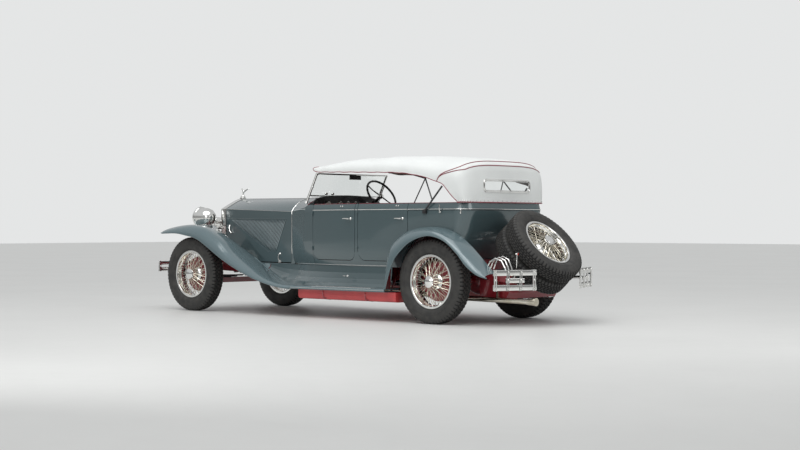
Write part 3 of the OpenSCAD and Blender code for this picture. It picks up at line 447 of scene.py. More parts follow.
def make_finishes(colours):
    lacquer("body_lacquer", tuple(colours.body))
    lacquer("wing_lacquer", tuple(colours.wings))
    lacquer("red_lacquer", tuple(colours.frame), 0.3)
    finish("tray_red", (0.42, 0.035, 0.04), (0.55, 0.055, 0.055), (0.3, 0.45), coat=0.4, patch=4)
    finish("bright_plate", (0.74, 0.74, 0.72), (0.86, 0.86, 0.84), (0.05, 0.16), metal=1, patch=7, grain=300,
           bump=0.02)
    finish("spoke_plate", (0.60, 0.55, 0.44), (0.80, 0.76, 0.66), (0.12, 0.28), metal=1, patch=12, grain=500,
           bump=0.05)
    finish("black_iron", (0.006, 0.006, 0.007), (0.016, 0.016, 0.018), (0.25, 0.45), coat=0.5, patch=8, grain=500,
           bump=0.08)
    finish("worn_iron", (0.02, 0.018, 0.016), (0.05, 0.047, 0.043), (0.55, 0.8), metal=0.3, patch=9, grain=250,
           bump=0.3)
    finish("tyre_rubber", (0.024, 0.024, 0.023), (0.042, 0.040, 0.037), (0.55, 0.8), patch=14, grain=420, bump=0.25,
           depth=0.001)
    finish("top_canvas", tint(colours.top, 0.93), tuple(colours.top), (0.75, 0.9), patch=2.2, weave=260,
           bump=0.25, depth=0.0004, sheen=0.25)
    finish("top_lining", (0.40, 0.38, 0.34), (0.50, 0.48, 0.43), (0.8, 0.95), patch=3, weave=300, bump=0.3, sheen=0.2)
    finish("maroon_hide", tint(colours.hide, 0.75), tint(colours.hide, 1.2), (0.38, 0.55), patch=10, grain=170,
           bump=0.55, depth=0.0012, sheen=0.05)
    finish("piping", tint(colours.hide, 1.3), tint(colours.hide, 1.9), (0.5, 0.7), patch=20, grain=600, bump=0.3)
    finish("carpet", (0.035, 0.004, 0.007), (0.06, 0.008, 0.012), (0.9, 1.0), patch=20, grain=900, bump=0.9,
           depth=0.002, sheen=0.3)
    finish("dark_core", (0.012, 0.012, 0.012), (0.03, 0.03, 0.03), (0.4, 0.6), metal=0.6, patch=20, weave=120,
           bump=0.8, depth=0.003)
    finish("lens_glass", (0.75, 0.78, 0.78), (0.85, 0.88, 0.88), (0.02, 0.06), patch=10, clear=0.85, weave=90,
           bump=0.3)
    finish("pane_glass", (0.90, 0.93, 0.92), (0.95, 0.97, 0.96), (0.0, 0.02), patch=3, clear=1.0, grain=5, bump=0.01)
    finish("ruby_glass", (0.30, 0.01, 0.01), (0.45, 0.02, 0.015), (0.05, 0.12), patch=20, coat=0.8, grain=300)
    finish("dial_face", (0.62, 0.60, 0.54), (0.72, 0.70, 0.64), (0.3, 0.4), patch=40, grain=600)
    # Near-black rubber: the real rubber strips of the running boards, and painted shade in the tyres' grooves
    finish("board_rubber_and_groove_shade", (0.005, 0.005, 0.005), (0.009, 0.009, 0.009), (0.75, 0.95), patch=18, grain=300, bump=0.3)
    # Lighter than the bonnet's lacquer: a painted highlight for the sky's reflection on the louvres' crests
    finish("louvre_painted_highlight", (0.34, 0.41, 0.43), (0.42, 0.49, 0.51), (0.2, 0.3), metal=0.3, coat=0.8, patch=6, grain=14,
           bump=0.02)
    finish("shadow_gap", (0.004, 0.005, 0.005), (0.008, 0.009, 0.009), (0.7, 0.9), patch=10)


NODE_FINISH = {
    "frame_rails": "red_lacquer", "engine_block": "worn_iron", "front_axle": "red_lacquer",
    "rear_axle": "red_lacquer",
    "leaf_springs": "black_iron", "knuckle_left": "red_lacquer", "knuckle_right": "red_lacquer",
    "spare_carrier": "black_iron", "side_valances": "body_lacquer", "rear_apron": "red_lacquer",
    "bonnet_hinge": "bright_plate", "bulkhead": "black_iron", "cabin_floor": "carpet",
    "windscreen_glass": "pane_glass", "top_irons": "black_iron", "fuel_tank": "red_lacquer", "exhaust": "spoke_plate",
}


def finish_nodes():
    """Gives every kept CAD node its finish."""
    for node, name in NODE_FINISH.items():
        piece = frame["nodes"][node]
        if not piece.material_slots:
            piece.data.materials.append(None)
        for place in piece.material_slots:
            place.link = "OBJECT"
            place.material = MATERIALS[name]


# ---------------------------------------------------------------- wings and boards

def vectors(grid):
    return [[Vector(p) for p in row] for row in grid]


def front_wing_grid():
    rows = []
    for r in smooth(FRONT_WING, 6):
        rows.append([(mix(r[0], r[2], math.sin(a)), mix(WING_Y, r[3], 1 - math.cos(a)), mix(r[1], r[4], math.sin(a)))
                     for a in steps(0, math.pi / 2, 12)]
                    + [(mix(r[2], r[5], t), mix(r[3], r[6], t), mix(r[4], r[7], t * t)) for t in steps(0.1, 1, 9)])
    return vectors(rows)


def rear_wing_grid():
    rows = []
    for r in smooth(REAR_WING, 6):
        inner = half_w(r[2]) + 0.5 if r[2] > CORNER_X else 662
        rows.append([(mix(r[0], r[2], math.sin(a)), mix(WING_Y, inner, 1 - math.cos(a)), mix(r[1], r[3], math.sin(a)))
                     for a in steps(0, math.pi / 2, 16)])
    return vectors(rows)


def apron_point(p, t):
    """From the wing's inner edge to below the bonnet: curved like the valance behind it, then straighter."""
    end = Vector((p.x, look(NOSE, p.x, 1) - 2, 555.5))
    a = math.pi / 2 * t
    arc = Vector((p.x, mix(p.y, end.y, math.sin(a)), mix(p.z, end.z, 1 - math.cos(a))))
    return arc.lerp(p.lerp(end, t), min(1, (p.x - 2690) / 200))


def build_wings():
    for name, grid in (("front_wing_panels", front_wing_grid()), ("rear_wing_panels", rear_wing_grid())):
        shape = Shape()
        inner = moved_in(grid, 6)
        shape.plate(grid, inner, (0, 1))
        shape.tube([p[0] + Vector((0, -6.2, 0)) + 3 * (p[0] - p[1]).normalized() for p in grid], 6, 8)
        if name.startswith("front"):
            # Apron between the bonnet's lower edge and the wing's inner edge, with a bead along it and a ledge under
            # the bonnet
            near = [row[-1] for row in grid if 2690 < row[-1].x < 2985]
            foot = [[apron_point(p, t) for t in steps(0, 1, 8)] for p in near]
            shape.plate(foot, [[p - Vector((0, 3, 0)) for p in row] for row in foot])
            shape.tube([row[-1] + Vector((0, -1.5, 1)) for row in grid if 1962 < row[-1].x < 2985], 4.5, 8)
            shape.tube([(x, look(NOSE, x, 1) - 4, 559) for x in steps(COWL_X - 14, 2960, 20)], 5, 8)
        shape.both_sides().build(name, ("wing_lacquer", "red_lacquer"), slot="body_paint",
                                 replaces=[name.replace("_wing_panels", "_wings")])


def build_trays():
    """The two long trays under the boards, with rolled edges, straps and their brackets."""
    shape = Shape()
    loop = [(562, 303), (562, 226), (580, 204), (610, 201), (762, 201), (786, 208), (797, 230), (799, 262),
            (796, 290),
            (799, 297), (799, 303)]
    stations = (1879, 1876, 1400, 950, 450, 447)
    rows = [[Vector((x, y, z)) for y, z in loop] for x in stations]
    inner = [[Vector((x, mix(y, 690, 0.03), mix(z, 303, 0.06))) for y, z in loop] for x in stations]
    shape.plate(rows, inner)
    for x in (449, 1877):
        shape.add([(x + d, y, z) for d in (-1.5, 1.5) for y, z in loop],
                  [list(range(11))[::-1], list(range(11, 22))]
                  + [[i, (i + 1) % 11, (i + 1) % 11 + 11, i + 11] for i in range(11)])
    shape.tube([(1878, 797.5, 298), (448, 797.5, 298)], 4.5, 8)
    for x in (1500, 880):
        shape.tube([(x, 795, 300), (x, 796, 262), (x - 10, 800, 236), (x - 26, 790, 210), (x - 60, 740, 203)],
                   [9, 9, 8, 8, 8], 8, 1, flat=0.6)
        shape.tube([(x + 2, 794, 226), (x - 46, 792, 216)], [7, 5], 8, 1)
    shape.both_sides().build("tray_panels", ("tray_red", "red_lacquer"), slot="chassis_red",
                             replaces=["chassis_trays"])
    hangers = Shape()
    for x in (725, 1275, 1725):
        hangers.tube([(x, 488, 455), (x, 530, 380), (x, 568, 306), (x, 590, 280)], [13, 12, 11, 11], 8, 0, flat=0.6)
    hangers.both_sides().build("tray_hangers", ("red_lacquer",), slot="chassis_red", replaces=["chassis_trays"])


def build_boards():
    shape = Shape()
    top, low, x0, x1 = BOARD_TOP, BOARD_LOW, 548, 1959.5
    loop = [(640, low), (WING_Y - 10, low), (WING_Y - 1, low + 8), (WING_Y - 1, top - 10), (WING_Y - 10, top - 1),
            (WING_Y - 16, top - 0.5), (640, top - 0.5)]
    shape.plate(vectors([[(x, y, z) for y, z in loop] for x in steps(x1, x0, 2)]),
                vectors([[(x, mix(y, 700, 0.02), mix(z, 320, 0.5)) for y, z in loop] for x in steps(x1, x0, 2)]))
    for k in range(13):
        y = 783 + k * 5.4
        shape.tube([(x1 - 350, y, top), (x0 + 210, y, top)], 1.9, 6, 1)
    shape.tube([(x1 - 20, WING_Y - 3.6, top - 17), (x0 + 10, WING_Y - 3.6, top - 17)], 3.2, 8, 2)
    front, back, near, far, z = x1 - 340, x0 + 200, 777, 853, top + 0.8
    shape.tube([(front, near, z), (back, near, z), (back, far, z), (front, far, z), (front, near, z)], 2.4, 6, 2)
    shape.both_sides().build("running_board_steps", ("wing_lacquer", "board_rubber_and_groove_shade", "bright_plate"),
                             slot="body_paint", replaces=["running_boards"])


# ---------------------------------------------------------------- body, doors, cowl and bonnet

def panel(shape, columns, low, high, rows, finish=(0, 1), depth=0.0, wall=WALL):
    """A wall of the body through the given plan places, between two heights that depend on the place."""
    outer = [[skin(s, mix(low(s), high(s), t), depth) for t in steps(0, 1, rows)] for s in columns]
    inner = [[skin(s, mix(low(s), high(s), t), depth + wall) for t in steps(0, 1, rows)] for s in columns]
    shape.plate(outer, inner, finish)


def spaced(a, b, near, far):
    """Places from a to b, close together near both ends."""
    n = 8
    ends = [near * (i / n) ** 1.3 for i in range(n + 1)]
    sign = 1 if b > a else -1
    middle = max(2, int((abs(b - a) - 2 * near) / far))
    return ([a + sign * e for e in ends] + steps(a + sign * near, b - sign * near, middle)[1:-1]
            + [b - sign * e for e in reversed(ends)])


def plan_x(s):
    return skin(s, TURN_Z).x


HINGE_BARREL = [[0, 0], [5.5, 0], [7, 2], [7, 20], [5.5, 22], [0, 22]]


def build_body():
    shape = Shape()
    fixed = DOOR_FRONT + 2.5
    front = [fixed] + spaced(DOOR_FRONT - EDGE, POST_X + POST_DOOR, CORNER_ROUND, 45) + [POST_X + POST_HALF]
    rear = [POST_X - POST_HALF] + spaced(POST_X - POST_DOOR, DOOR_REAR + EDGE, CORNER_ROUND, 24) + [DOOR_REAR - EDGE]

    def door_foot(s):
        x = min(DOOR_FRONT - EDGE, max(DOOR_REAR + EDGE, plan_x(s)))
        if abs(x - POST_X) < POST_DOOR:
            x = POST_X + POST_DOOR
        return door_low(x) - (GAP if x > REAR_FOOT else 2 * GAP)

    def lowest(s):
        x = plan_x(s)
        return max(BODY_LOW, arch_z(x)) if s < 1.5 else mix(arch_z(x), 646, min(1, (s - 1.5) / 0.25))

    # Sills and posts, then the tail from door to door
    panel(shape, [side_s(x) for x in front + rear], lowest, lambda s: max(lowest(s) + 12, door_foot(s)), 8)
    for a, b in ((fixed, DOOR_FRONT + 0.5), (POST_X + POST_HALF, POST_X - POST_HALF)):
        panel(shape, [side_s(x) for x in steps(a, b, 2)], door_foot, lambda s: BODY_TOP, 12)
    shape.both_sides()
    tail = [side_s(x) for x in steps(DOOR_REAR - EDGE, CORNER_X, 26)] + steps(1.04, 2, 26) + steps(2.05, 3, 12)
    tail += [6 - s for s in reversed(tail[:-1])]
    panel(shape, tail, lambda s: lowest(min(s, 6 - s)), lambda s: BODY_TOP, 26)
    shape.build("body_shell", ("body_lacquer", "maroon_hide"), slot="body_paint", replaces=["body_tub"], angle=30)
    trim = Shape()
    trim.tube([skin(s, BODY_TOP - 2, 12) for s in tail], 9, 8, 0)
    for z, r, m in ((BELT, 4.2, 1), (BELT - 13, 1.8, 2)):
        trim.tube([skin(s, z, 0.6) for s in tail], r, 8, m, up=(0, 0, 1))
    for side_y in (1, -1):
        for low, high, z, r in ((POST_X - 19, POST_X + 19, BELT, 4.2), (REAR_FOOT, COWL_X - 12, 568, 3.4)):
            path = [skin(side_s(x), z, 0.6) for x in steps(high, low, 24)]
            trim.tube([(p.x, p.y * side_y, p.z) for p in path], r, 8, 1)
    trim.build("body_trim", ("maroon_hide", "bright_plate", "shadow_gap"), slot="bright_metal", angle=50)


def door_piece(name, x0, x1, spacing):
    """One door on each side, from its front edge x0 to its rear edge x1."""
    for left in (True, False):
        shape = Shape()
        columns = [side_s(x) for x in spaced(x0, x1, CORNER_ROUND, spacing)]
        panel(shape, columns, lambda s: door_low(plan_x(s)), lambda s: BODY_TOP, 22)
        # Moulding along the belt, padded top rail, inner pocket and lever
        shape.tube([skin(s, BELT, 0.6) for s in columns], 4.2, 8, 2)
        shape.tube([skin(s, BODY_TOP - 2, 14) for s in columns], 9, 8, 1)
        hinge_x = x0 + EDGE
        y = half_w(hinge_x) + 8
        for z in (742.3, 1112.3):
            shape.lathe(HINGE_BARREL, (hinge_x, y, z), (0, 0, 1), 0, 16)
            shape.block((hinge_x - 24, y - 14, z), (hinge_x, y - 6, z + 22), 0)
        hx = x1 + 62
        out = half_w(hx)
        shape.lathe([[0, 11], [11, 11], [14, 8], [17, 1], [17, -3]], (hx, out, 1055), (0, 1, 0), 2, 20)
        shape.tube([(hx, out + 6, 1055), (hx, out + 24, 1055), (hx - 2, out + 31, 1055), (hx + 14, out + 34, 1056),
                    (hx + 48, out + 33, 1058), (hx + 78, out + 30, 1058), (hx + 92, out + 28, 1056)],
                   [7, 6.5, 7, 7, 6, 5, 3], 12, 2)
        inside = half_w(hx) - WALL
        shape.tube([(hx + 60, inside - 4, 1090), (hx + 60, inside - 14, 1090), (hx + 110, inside - 15, 1080)],
                   [7, 6, 4], 10, 2)
        middle = (x0 + x1) / 2
        pocket = [[(x, half_w(x) - WALL - 2 - 8 * math.sin(math.pi * t) * math.sin(math.pi * u), mix(760, 960, u))
                   for u in steps(0, 1, 6)] for t, x in zip(steps(0, 1, 10), steps(middle + 190, middle - 130, 10))]
        shape.plate(vectors(pocket), [[p + Vector((0, 3, 0)) for p in row] for row in vectors(pocket)], (1, 1))
        side = "left" if left else "right"
        if not left:
            shape.on_right()
        node = f"door_{name}_{side}"
        shape.build(node + "_panel", ("body_lacquer", "maroon_hide", "bright_plate"), body=node, slot="body_paint",
                    replaces=[node])


def build_cowl():
    rows = steps(COWL_X, 1836, 18)
    outer = [[nose_point(x, t) for t in steps(0, 1, 10) + steps(1.06, 2, 15)] for x in rows]
    inner = [[nose_point(x, t, -mix(14, WALL, (COWL_X - x) / 467)) for t in steps(0, 1, 10) + steps(1.06, 2, 15)]
             for x in rows]

    def whole(grid):
        return [row + [Vector((p.x, -p.y, p.z)) for p in reversed(row[:-1])] for row in grid]

    shape = Shape()
    open_from = next(i for i, x in enumerate(rows) if x < SCUTTLE_X + 2)
    shape.plate(whole(outer), whole(inner), (0, 1), lambda i, j: i >= open_from and 10 <= j < 40)
    # Bright moulding over the joint with the bonnet, and from there to the windscreen's foot
    joint = [nose_point(COWL_X - 9, t, 1.0) for t in steps(0.03, 1, 16) + steps(1.04, 2, 20)]
    joint += [Vector((p.x, -p.y, p.z)) for p in reversed(joint[:-1])]
    shape.tube(joint, 5, 10, 2)
    for sign in (1, -1):
        path = [nose_point(x, 1.0) for x in steps(COWL_X - 12, 1838, 14)]
        path = [Vector((p.x, (p.y - 1) * sign, mix(p.z, max(BELT, p.z - 40), i / 14))) for i, p in enumerate(path)]
        shape.tube(path, 4.2, 8, 2)
        for z in (720, 1090):
            y = half_w(DOOR_FRONT) + 8
            shape.lathe(HINGE_BARREL, (DOOR_FRONT, sign * y, z), (0, 0, 1), 0, 16)
        # Ventilator knob and side lamp on the scuttle
        shape.lathe([[0, -20], [8, -18], [14, -6], [15, 4], [12, 12], [0, 16]], (2120, sign * 420, 1283),
                    (1, 0, 0.1), 2, 20)
        shape.tube([(2120, sign * 420, 1262), (2120, sign * 420, 1275)], [6, 5], 8, 2)
    # Roll along the rear edge of the scuttle
    edge = [nose_point(1952, t, -3) for t in steps(1.03, 2, 18)]
    edge += [Vector((p.x, -p.y, p.z)) for p in reversed(edge[:-1])]
    shape.tube(edge, 8, 10, 3)
    shape.build("cowl_panel", ("body_lacquer", "black_iron", "bright_plate", "maroon_hide"), slot="body_paint",
                replaces=["cowl"], angle=30)


def build_bonnet(louvre_count):
    for left in (True, False):
        hand = "left" if left else "right"
        top = Shape()
        rows = steps(SHELL_X - 5.5, COWL_X + 5.5, 26)

        def over(x):
            w, zs, zt, p = (look(NOSE, x, c) for c in (1, 2, 3, 4))
            return [Vector((x, y, zs + (zt - zs) * (1 - (y / w) ** p)))
                    for y in [mix(w - 3.5, 3.4, math.sin(a)) for a in steps(0, math.pi / 2, 22)]]

        grid = [over(x) for x in rows]
        top.plate(grid, moved_in(grid, 3), (0, 1))
        a, b = (Vector((x, look(NOSE, x, 1) - 1, look(NOSE, x, 2) - 1)) for x in (COWL_X + 9.5, SHELL_X - 9.5))
        top.tube([a, b], 2.6, 8, 2)
        if not left:
            top.on_right()
        top.build(f"bonnet_top_panel_{hand}", ("body_lacquer", "black_iron", "bright_plate"),
                  body=f"bonnet_top_{hand}", slot="body_paint", replaces=[f"bonnet_top_{hand}"])

        side = Shape()
        grid = [[Vector((x, look(NOSE, x, 1), z)) for z in steps(576, look(NOSE, x, 2) - 4.5, 8)] for x in rows]
        side.plate(grid, moved_in(grid, 3), (0, 1))
        for k in range(louvre_count):
            x_top = mix(3490, 2415, k / (louvre_count - 1))
            w = min(1.0, (3524 - x_top) / 996)
            path = []
            for t in steps(0, 1, 8):
                x, z = x_top + 196 * w * t, 1050 - 354 * w * t
                path.append(Vector((x, look(NOSE, x, 1) + 0.5, z)))
            lift = [0.6] + [6.4] * 7 + [0.6]
            # Each louvre's crest takes the lighter louvre finish, a painted highlight; the dark strip beside it is
            # painted shadow in its slot
            side.tube(path, lift, 6, 4, up=(0, 1, 0), flat=0.75)
            side.tube([p + Vector((-9.5, 0.2, 0)) for p in path], 3.4, 4, 3)
        frame_line = [(3530, 1062), (2402, 1062), (2604, 686), (2752, 690), (3530, 1062)]
        path = []
        for (x0, z0), (x1, z1) in zip(frame_line, frame_line[1:]):
            path += [(mix(x0, x1, t), look(NOSE, mix(x0, x1, t), 1) + 0.5, mix(z0, z1, t)) for t in steps(0, 0.94, 8)]
        side.tube(path, 2.2, 6, 0, closed=True)
        for x, z in ((3344, 700), (2522, 666)):
            y = look(NOSE, x, 1)
            side.lathe([[0, 14], [9, 13], [12, 8], [16, 2], [16, -2]], (x, y, z), (0, 1, 0), 2, 20)
            side.tube([(x, y + 10, z), (x + 4, y + 20, z - 8), (x + 6, y + 22, z - 40), (x + 4, y + 20, z - 62)],
                      [6, 6, 5, 6.5], 10, 2)
            side.block((x - 20, y - 1, z - 96), (x + 22, y + 8, z - 66), 2, 4)
            side.tube([(x + 2, y + 8, z - 80), (x + 2, y + 17, z - 76), (x + 2, y + 17, z - 60)], 4, 8, 2)
        y = look(NOSE, 3480, 1)
        side.tube([(3546, y - 8, 990), (3540, y + 9, 965), (3530, y + 12, 925), (3500, y + 12, 895),
                   (3480, y + 9, 905)],
                  [4, 5, 5, 5, 4], 8, 2)
        if not left:
            side.on_right()
        side.build(f"bonnet_side_panel_{hand}",
                   ("body_lacquer", "black_iron", "bright_plate", "shadow_gap", "louvre_painted_highlight"),
                   body=f"bonnet_side_{hand}", slot="body_paint", replaces=[f"bonnet_side_{hand}"])


# ---------------------------------------------------------------- wheels

def wheel_pieces(name, centre, axis, body, spokes, node, tyre):
    """A wire wheel and its treaded tyre about a centre, with the outer side along the axis."""
    centre, axis = Vector(centre), Vector(axis).normalized()
    e1 = axis.cross(Vector((0, 0, 1))).normalized()
    e2 = axis.cross(e1)

    def at(r, a, w):
        a = math.radians(a)
        return centre + e1 * (r * math.cos(a)) + e2 * (r * math.sin(a)) + axis * w

    wheel = Shape()
    rim = [[236, -20], [244, -34], [250, -50], [250, -61], [254, -64], [271, -64], [273, -60], [271, -57], [262, -56],
           [261.5, 56], [271, 57], [273, 60], [271, 64], [254, 64], [250, 61], [250, 50], [244, 34], [236, 20],
           [235, 0]]
    wheel.lathe(rim, centre, axis, 0, 72, ring=True)
    for k in range(spokes):
        a = 360 / spokes * k
        outer, lean = k % 2 == 0, 26 if k // 2 % 2 == 0 else -26
        hub = at(46 if outer else 66, a - lean, 72 if outer else -34)
        lip = at(239, a, -12 if outer else 14)
        wheel.tube([hub, lip], 2.6, 5, 1)
        wheel.tube([lip + (hub - lip).normalized() * 12, lip], [3.0, 4.4], 5, 0)
    wheel.lathe([[17.05, -44], [72, -44], [76, -40], [76, -32], [70, -28], [52, -14], [46, 0], [42, 30], [44, 60],
                 [52, 66], [53, 78], [50, 82], [54, 84], [60, 88], [60, 96], [54, 100], [47, 103], [40, 108],
                 [30, 112.5], [16, 115.2], [0, 116]], centre, axis, 0, 40)
    for k in range(3):
        # Ears of the spinner
        a = 120 * k + 30
        wheel.tube([at(40, a, 93), at(58, a, 95), at(72, a, 97)], [11, 8, 5], 8, 0, flat=0.6)
    if body != "chassis":
        # Finned brake drum and its bolts
        wheel.lathe([[17.05, -46], [150, -46], [192, -47], [199, -52], [201, -60], [197, -64], [201, -68], [197, -72],
                     [201, -76], [197, -80], [201, -84], [200, -90], [190, -90], [190, -56], [17.05, -54]],
                    centre, axis, 2, 64, ring=True)
        for k in range(6):
            wheel.lathe([[0, 5], [6, 4], [7, 0]], at(120, 60 * k, -46), axis, 2, 8)
    wheel.build(f"{name}_wire_wheel", ("bright_plate", "spoke_plate", "red_lacquer"), body=body,
                slot="bright_metal", replaces=[node])

    half = [[262, 54], [268, 60], [276, 66], [280, 63], [284, 69], [300, 80], [322, 87], [345, 89.5], [366, 88.5],
            [384, 84], [398, 77], [402, 76.5], [412, 72], [419, 66], [423, 58], [424, 46], [418, 43.5], [418, 40.5],
            [424.4, 38], [424.8, 26], [418.5, 23.5], [418.5, 20.5], [425, 18], [425, 5], [419, 2.5], [419, 0]]
    profile = half + [[r, -w] for r, w in reversed(half[:-1])]
    m = len(profile)

    def groove(k, j):
        """How deep the tread is cut: shoulder lugs, two rows of blocks and a zigzag middle."""
        j = min(j, m - 1 - j)
        if 11 <= j <= 15 or 22 <= j <= 23:
            return 6 if k % 6 < 2 else 0
        return 6 if 18 <= j <= 19 and (k + 3) % 6 < 2 else 0

    # Grooved faces take the darker rubber: painted shade in the tyre's recesses
    def cut(k, j):
        j = min(j, m - 2 - j)
        ring_groove = j in (15, 16, 17, 19, 20, 21, 23, 24)
        return 1 if ring_groove or groove(k, j) else 0

    rubber = Shape()
    rubber.lathe(profile, centre, axis, cut, 384, ring=True, dent=groove)
    rubber.lathe([[327, 86.5], [329, 90], [333, 90], [335, 87]], centre, axis, 0, 96)
    rubber.build(f"{name}_treaded_tyre", ("tyre_rubber", "board_rubber_and_groove_shade"), body=body, slot="rubber_tyre",
                 replaces=[tyre])


def build_wheels(spokes):
    for where, x in (("front", WHEELBASE), ("rear", 0)):
        for sign, side in ((1, "left"), (-1, "right")):
            wheel_pieces(f"{where}_{side}", (x, sign * TYRE_Y, HUB_Z), (0, sign, 0), f"{where}_wheel_{side}", spokes,
                         f"wheel_{where}_{side}", f"tyre_{where}_{side}")
    for k, which in enumerate(("outer", "inner")):
        wheel_pieces(f"spare_{which}", SPARE - SPARE_AXIS * SPARE_PITCH * k, SPARE_AXIS, "chassis", spokes,
                     "spare_wheels", "spare_tyres")


# ---------------------------------------------------------------- top and seats

def crown(u, n):
    """How high the top's section stands at u of its half width, from 1 in the middle to 0 at the edge."""
    return max(0.0, 1 - abs(u) ** n) ** (1 / n)


def top_grid():
    """The top's outer face, with a slight sag between the bows and a ripple along its lower edge."""
    rows = []
    bows = (1850, 1800, 1124, 722, 250)
    for r in smooth(TOP, 8):
        x = r[0]
        drop = 0
        for a, b in zip(bows, bows[1:]):
            if b < x < a:
                drop = 7 * math.sin(math.pi * (a - x) / (a - b))
        row = []
        for v in steps(-1, 1, 96):
            u = -math.sin(math.pi / 2 * v)
            s = crown(u, r[5])
            edge = 2.2 * math.sin(x / 31) * (1 - s) if x > 250 else 0
            row.append(Vector((mix(r[0], r[3], s), r[1] * u, mix(r[2], r[4], s) - drop * s * s + edge)))
        rows.append(row)
    return rows


def build_top():
    grid = top_grid()
    inner = moved_in(grid, 4)

    def in_window(i, j):
        p = (grid[i][j] + grid[i + 1][j + 1]) / 2
        return p.x < -330 and abs(p.y) < WINDOW_W - 10 and abs(p.z - WINDOW_Z) < WINDOW_H - 6

    cloth = Shape()
    cloth.plate(grid, inner, (0, 1), in_window)
    cover = cloth.build("top_fabric", ("top_canvas", "top_lining"), slot="top_cloth", replaces=["top_cover"],
                        angle=60)
    # Piping: the lower edge of the sides, the roll round the rear quarters, and the foot on the body
    pipe = Shape()
    rows = smooth(TOP, 8)

    def on_top(i, u, out=0.5):
        r = rows[i]
        s = crown(u, r[5])
        return Vector((mix(r[0], r[3], s), r[1] * u, mix(r[2], r[4], s) + out))

    for sign in (1, -1):
        pipe.tube([row[0 if sign > 0 else -1] + Vector((0, -sign, -1)) for row in grid], 4.2, 8, 0)
        # Two seams rise from the rear end of each side's edge and run across the top's rear
        for last in (61, 70):
            path = []
            for v in steps(0, 1, 60):
                u = math.cos(math.pi / 2 * v)
                ease = 1 - (1 - min(1.0, (1 - u) / 0.16)) ** 2.2
                at = mix(51, last, ease)
                a, b = on_top(int(at), u * sign, 1.0), on_top(min(int(at) + 1, len(rows) - 1), u * sign, 1.0)
                path.append(a.lerp(b, at - int(at)))
            pipe.tube(path, 4.8, 8, 0)
    pipe.tube([on_top(0, math.sin(math.pi / 2 * v)) + Vector((1, 0, 0)) for v in steps(-1, 1, 60)], 4.2, 8, 0)
    foot = [on_top(len(rows) - 4, math.sin(math.pi / 2 * v), 0) for v in steps(-1, 1, 80)]
    pipe.tube([(p.x - 1, p.y * 1.003, 1217) for p in foot], 5, 8, 0)
    piping = pipe.build("top_piping", ("piping",), slot="hide")
    snaps = Shape()
    for v in steps(-0.97, 0.97, 26):
        u = math.sin(math.pi / 2 * v)
        p = on_top(len(rows) - 6, u, 0)
        q = on_top(len(rows) - 6, math.sin(math.pi / 2 * (v + 0.02)), 0)
        d = Vector((q.y - p.y, p.x - q.x, 0)).normalized()
        d = d if d.x < 0 or abs(d.x) < 0.2 and d.y * p.y > 0 else -d
        snaps.lathe([[0, 3.6], [4.5, 2.6], [6.5, 0.6], [6.5, -2]], (p.x, p.y, 1232), d, 0, 12)
    studs = snaps.build("top_snaps", ("bright_plate",), slot="bright_metal")

    frame_piece = Shape()
    w, high, corner = WINDOW_W - 1, WINDOW_H - 0.5, 42
    loop = []
    for cx, cz, a0 in ((w - corner, high - corner, 0), (-w + corner, high - corner, 90),
                       (-w + corner, -high + corner, 180), (w - corner, -high + corner, 270)):
        loop += [(cx + corner * math.cos(math.radians(a)), cz + corner * math.sin(math.radians(a)))
                 for a in steps(a0, a0 + 90, 8)]
    for inset, r, x in ((4, 7.5, -357), (17, 4, -356)):
        k1, k2 = (w - inset) / w, (high - inset) / high
        frame_piece.tube([(x, y * k1, WINDOW_Z + z * k2) for y, z in loop], r, 10, 0, closed=True)
    k1, k2 = (w - 12) / w, (high - 12) / high
    outer = [[Vector((-354, y * k * k1, WINDOW_Z + z * k * k2)) for k in (1.0, 0.0)] for y, z in loop + loop[:1]]
    frame_piece.plate(outer, [[p + Vector((3, 0, 0)) for p in row] for row in outer], (1, 1))
    frame_piece.build("rear_window_frame", ("bright_plate", "pane_glass"), slot="bright_metal",
                      replaces=["rear_window"])


def cushion(shape, section, half, pleats, puff, finish=0, count=120):
    """A crowned cushion: a closed section in x and z, drawn in towards both ends and pleated along its length."""
    centre = Vector((sum(p[0] for p in section) / len(section), sum(p[1] for p in section) / len(section)))
    rows = []
    for v in steps(-1, 1, count):
        u = math.sin(math.pi / 2 * v)
        end = max(0.0, 1 - abs(u) ** 9) ** (1 / 5)
        roll = abs(math.sin(math.pi * pleats * (u + 1) / 2)) ** 0.55
        row = []
        for x, z in section:
            p = Vector((x, z))
            d = p - centre
            top = max(0.0, d.normalized().y * 0.7 + d.normalized().x * 0.7)
            k = mix(0.80, 1, end) - (1 - roll) * puff * top / max(d.length, 1)
            q = centre + d * k
            row.append(Vector((q.x, u * half, q.y)))
        rows.append(row)
    m = len(section)
    points = [p for r in rows for p in r]
    faces = [[i * m + j, i * m + (j + 1) % m, (i + 1) * m + (j + 1) % m, (i + 1) * m + j]
             for i in range(len(rows) - 1) for j in range(m)]
    faces += [list(range(m))[::-1], [(len(rows) - 1) * m + j for j in range(m)]]
    shape.add(points, faces, finish)


def soft_section(corners, r=38, per=8):
    """A closed line through the corners of a section, with each corner rounded."""
    points = []
    n = len(corners)
    for i in range(n):
        a, b, c = (Vector(corners[(i + k) % n]) for k in (-1, 0, 1))
        ra = min(r, (a - b).length * 0.45, (c - b).length * 0.45)
        p, q = b + (a - b).normalized() * ra, b + (c - b).normalized() * ra
        for t in steps(0, 1, per):
            points.append(tuple(p * (1 - t) ** 2 + b * 2 * t * (1 - t) + q * t * t))
    return points


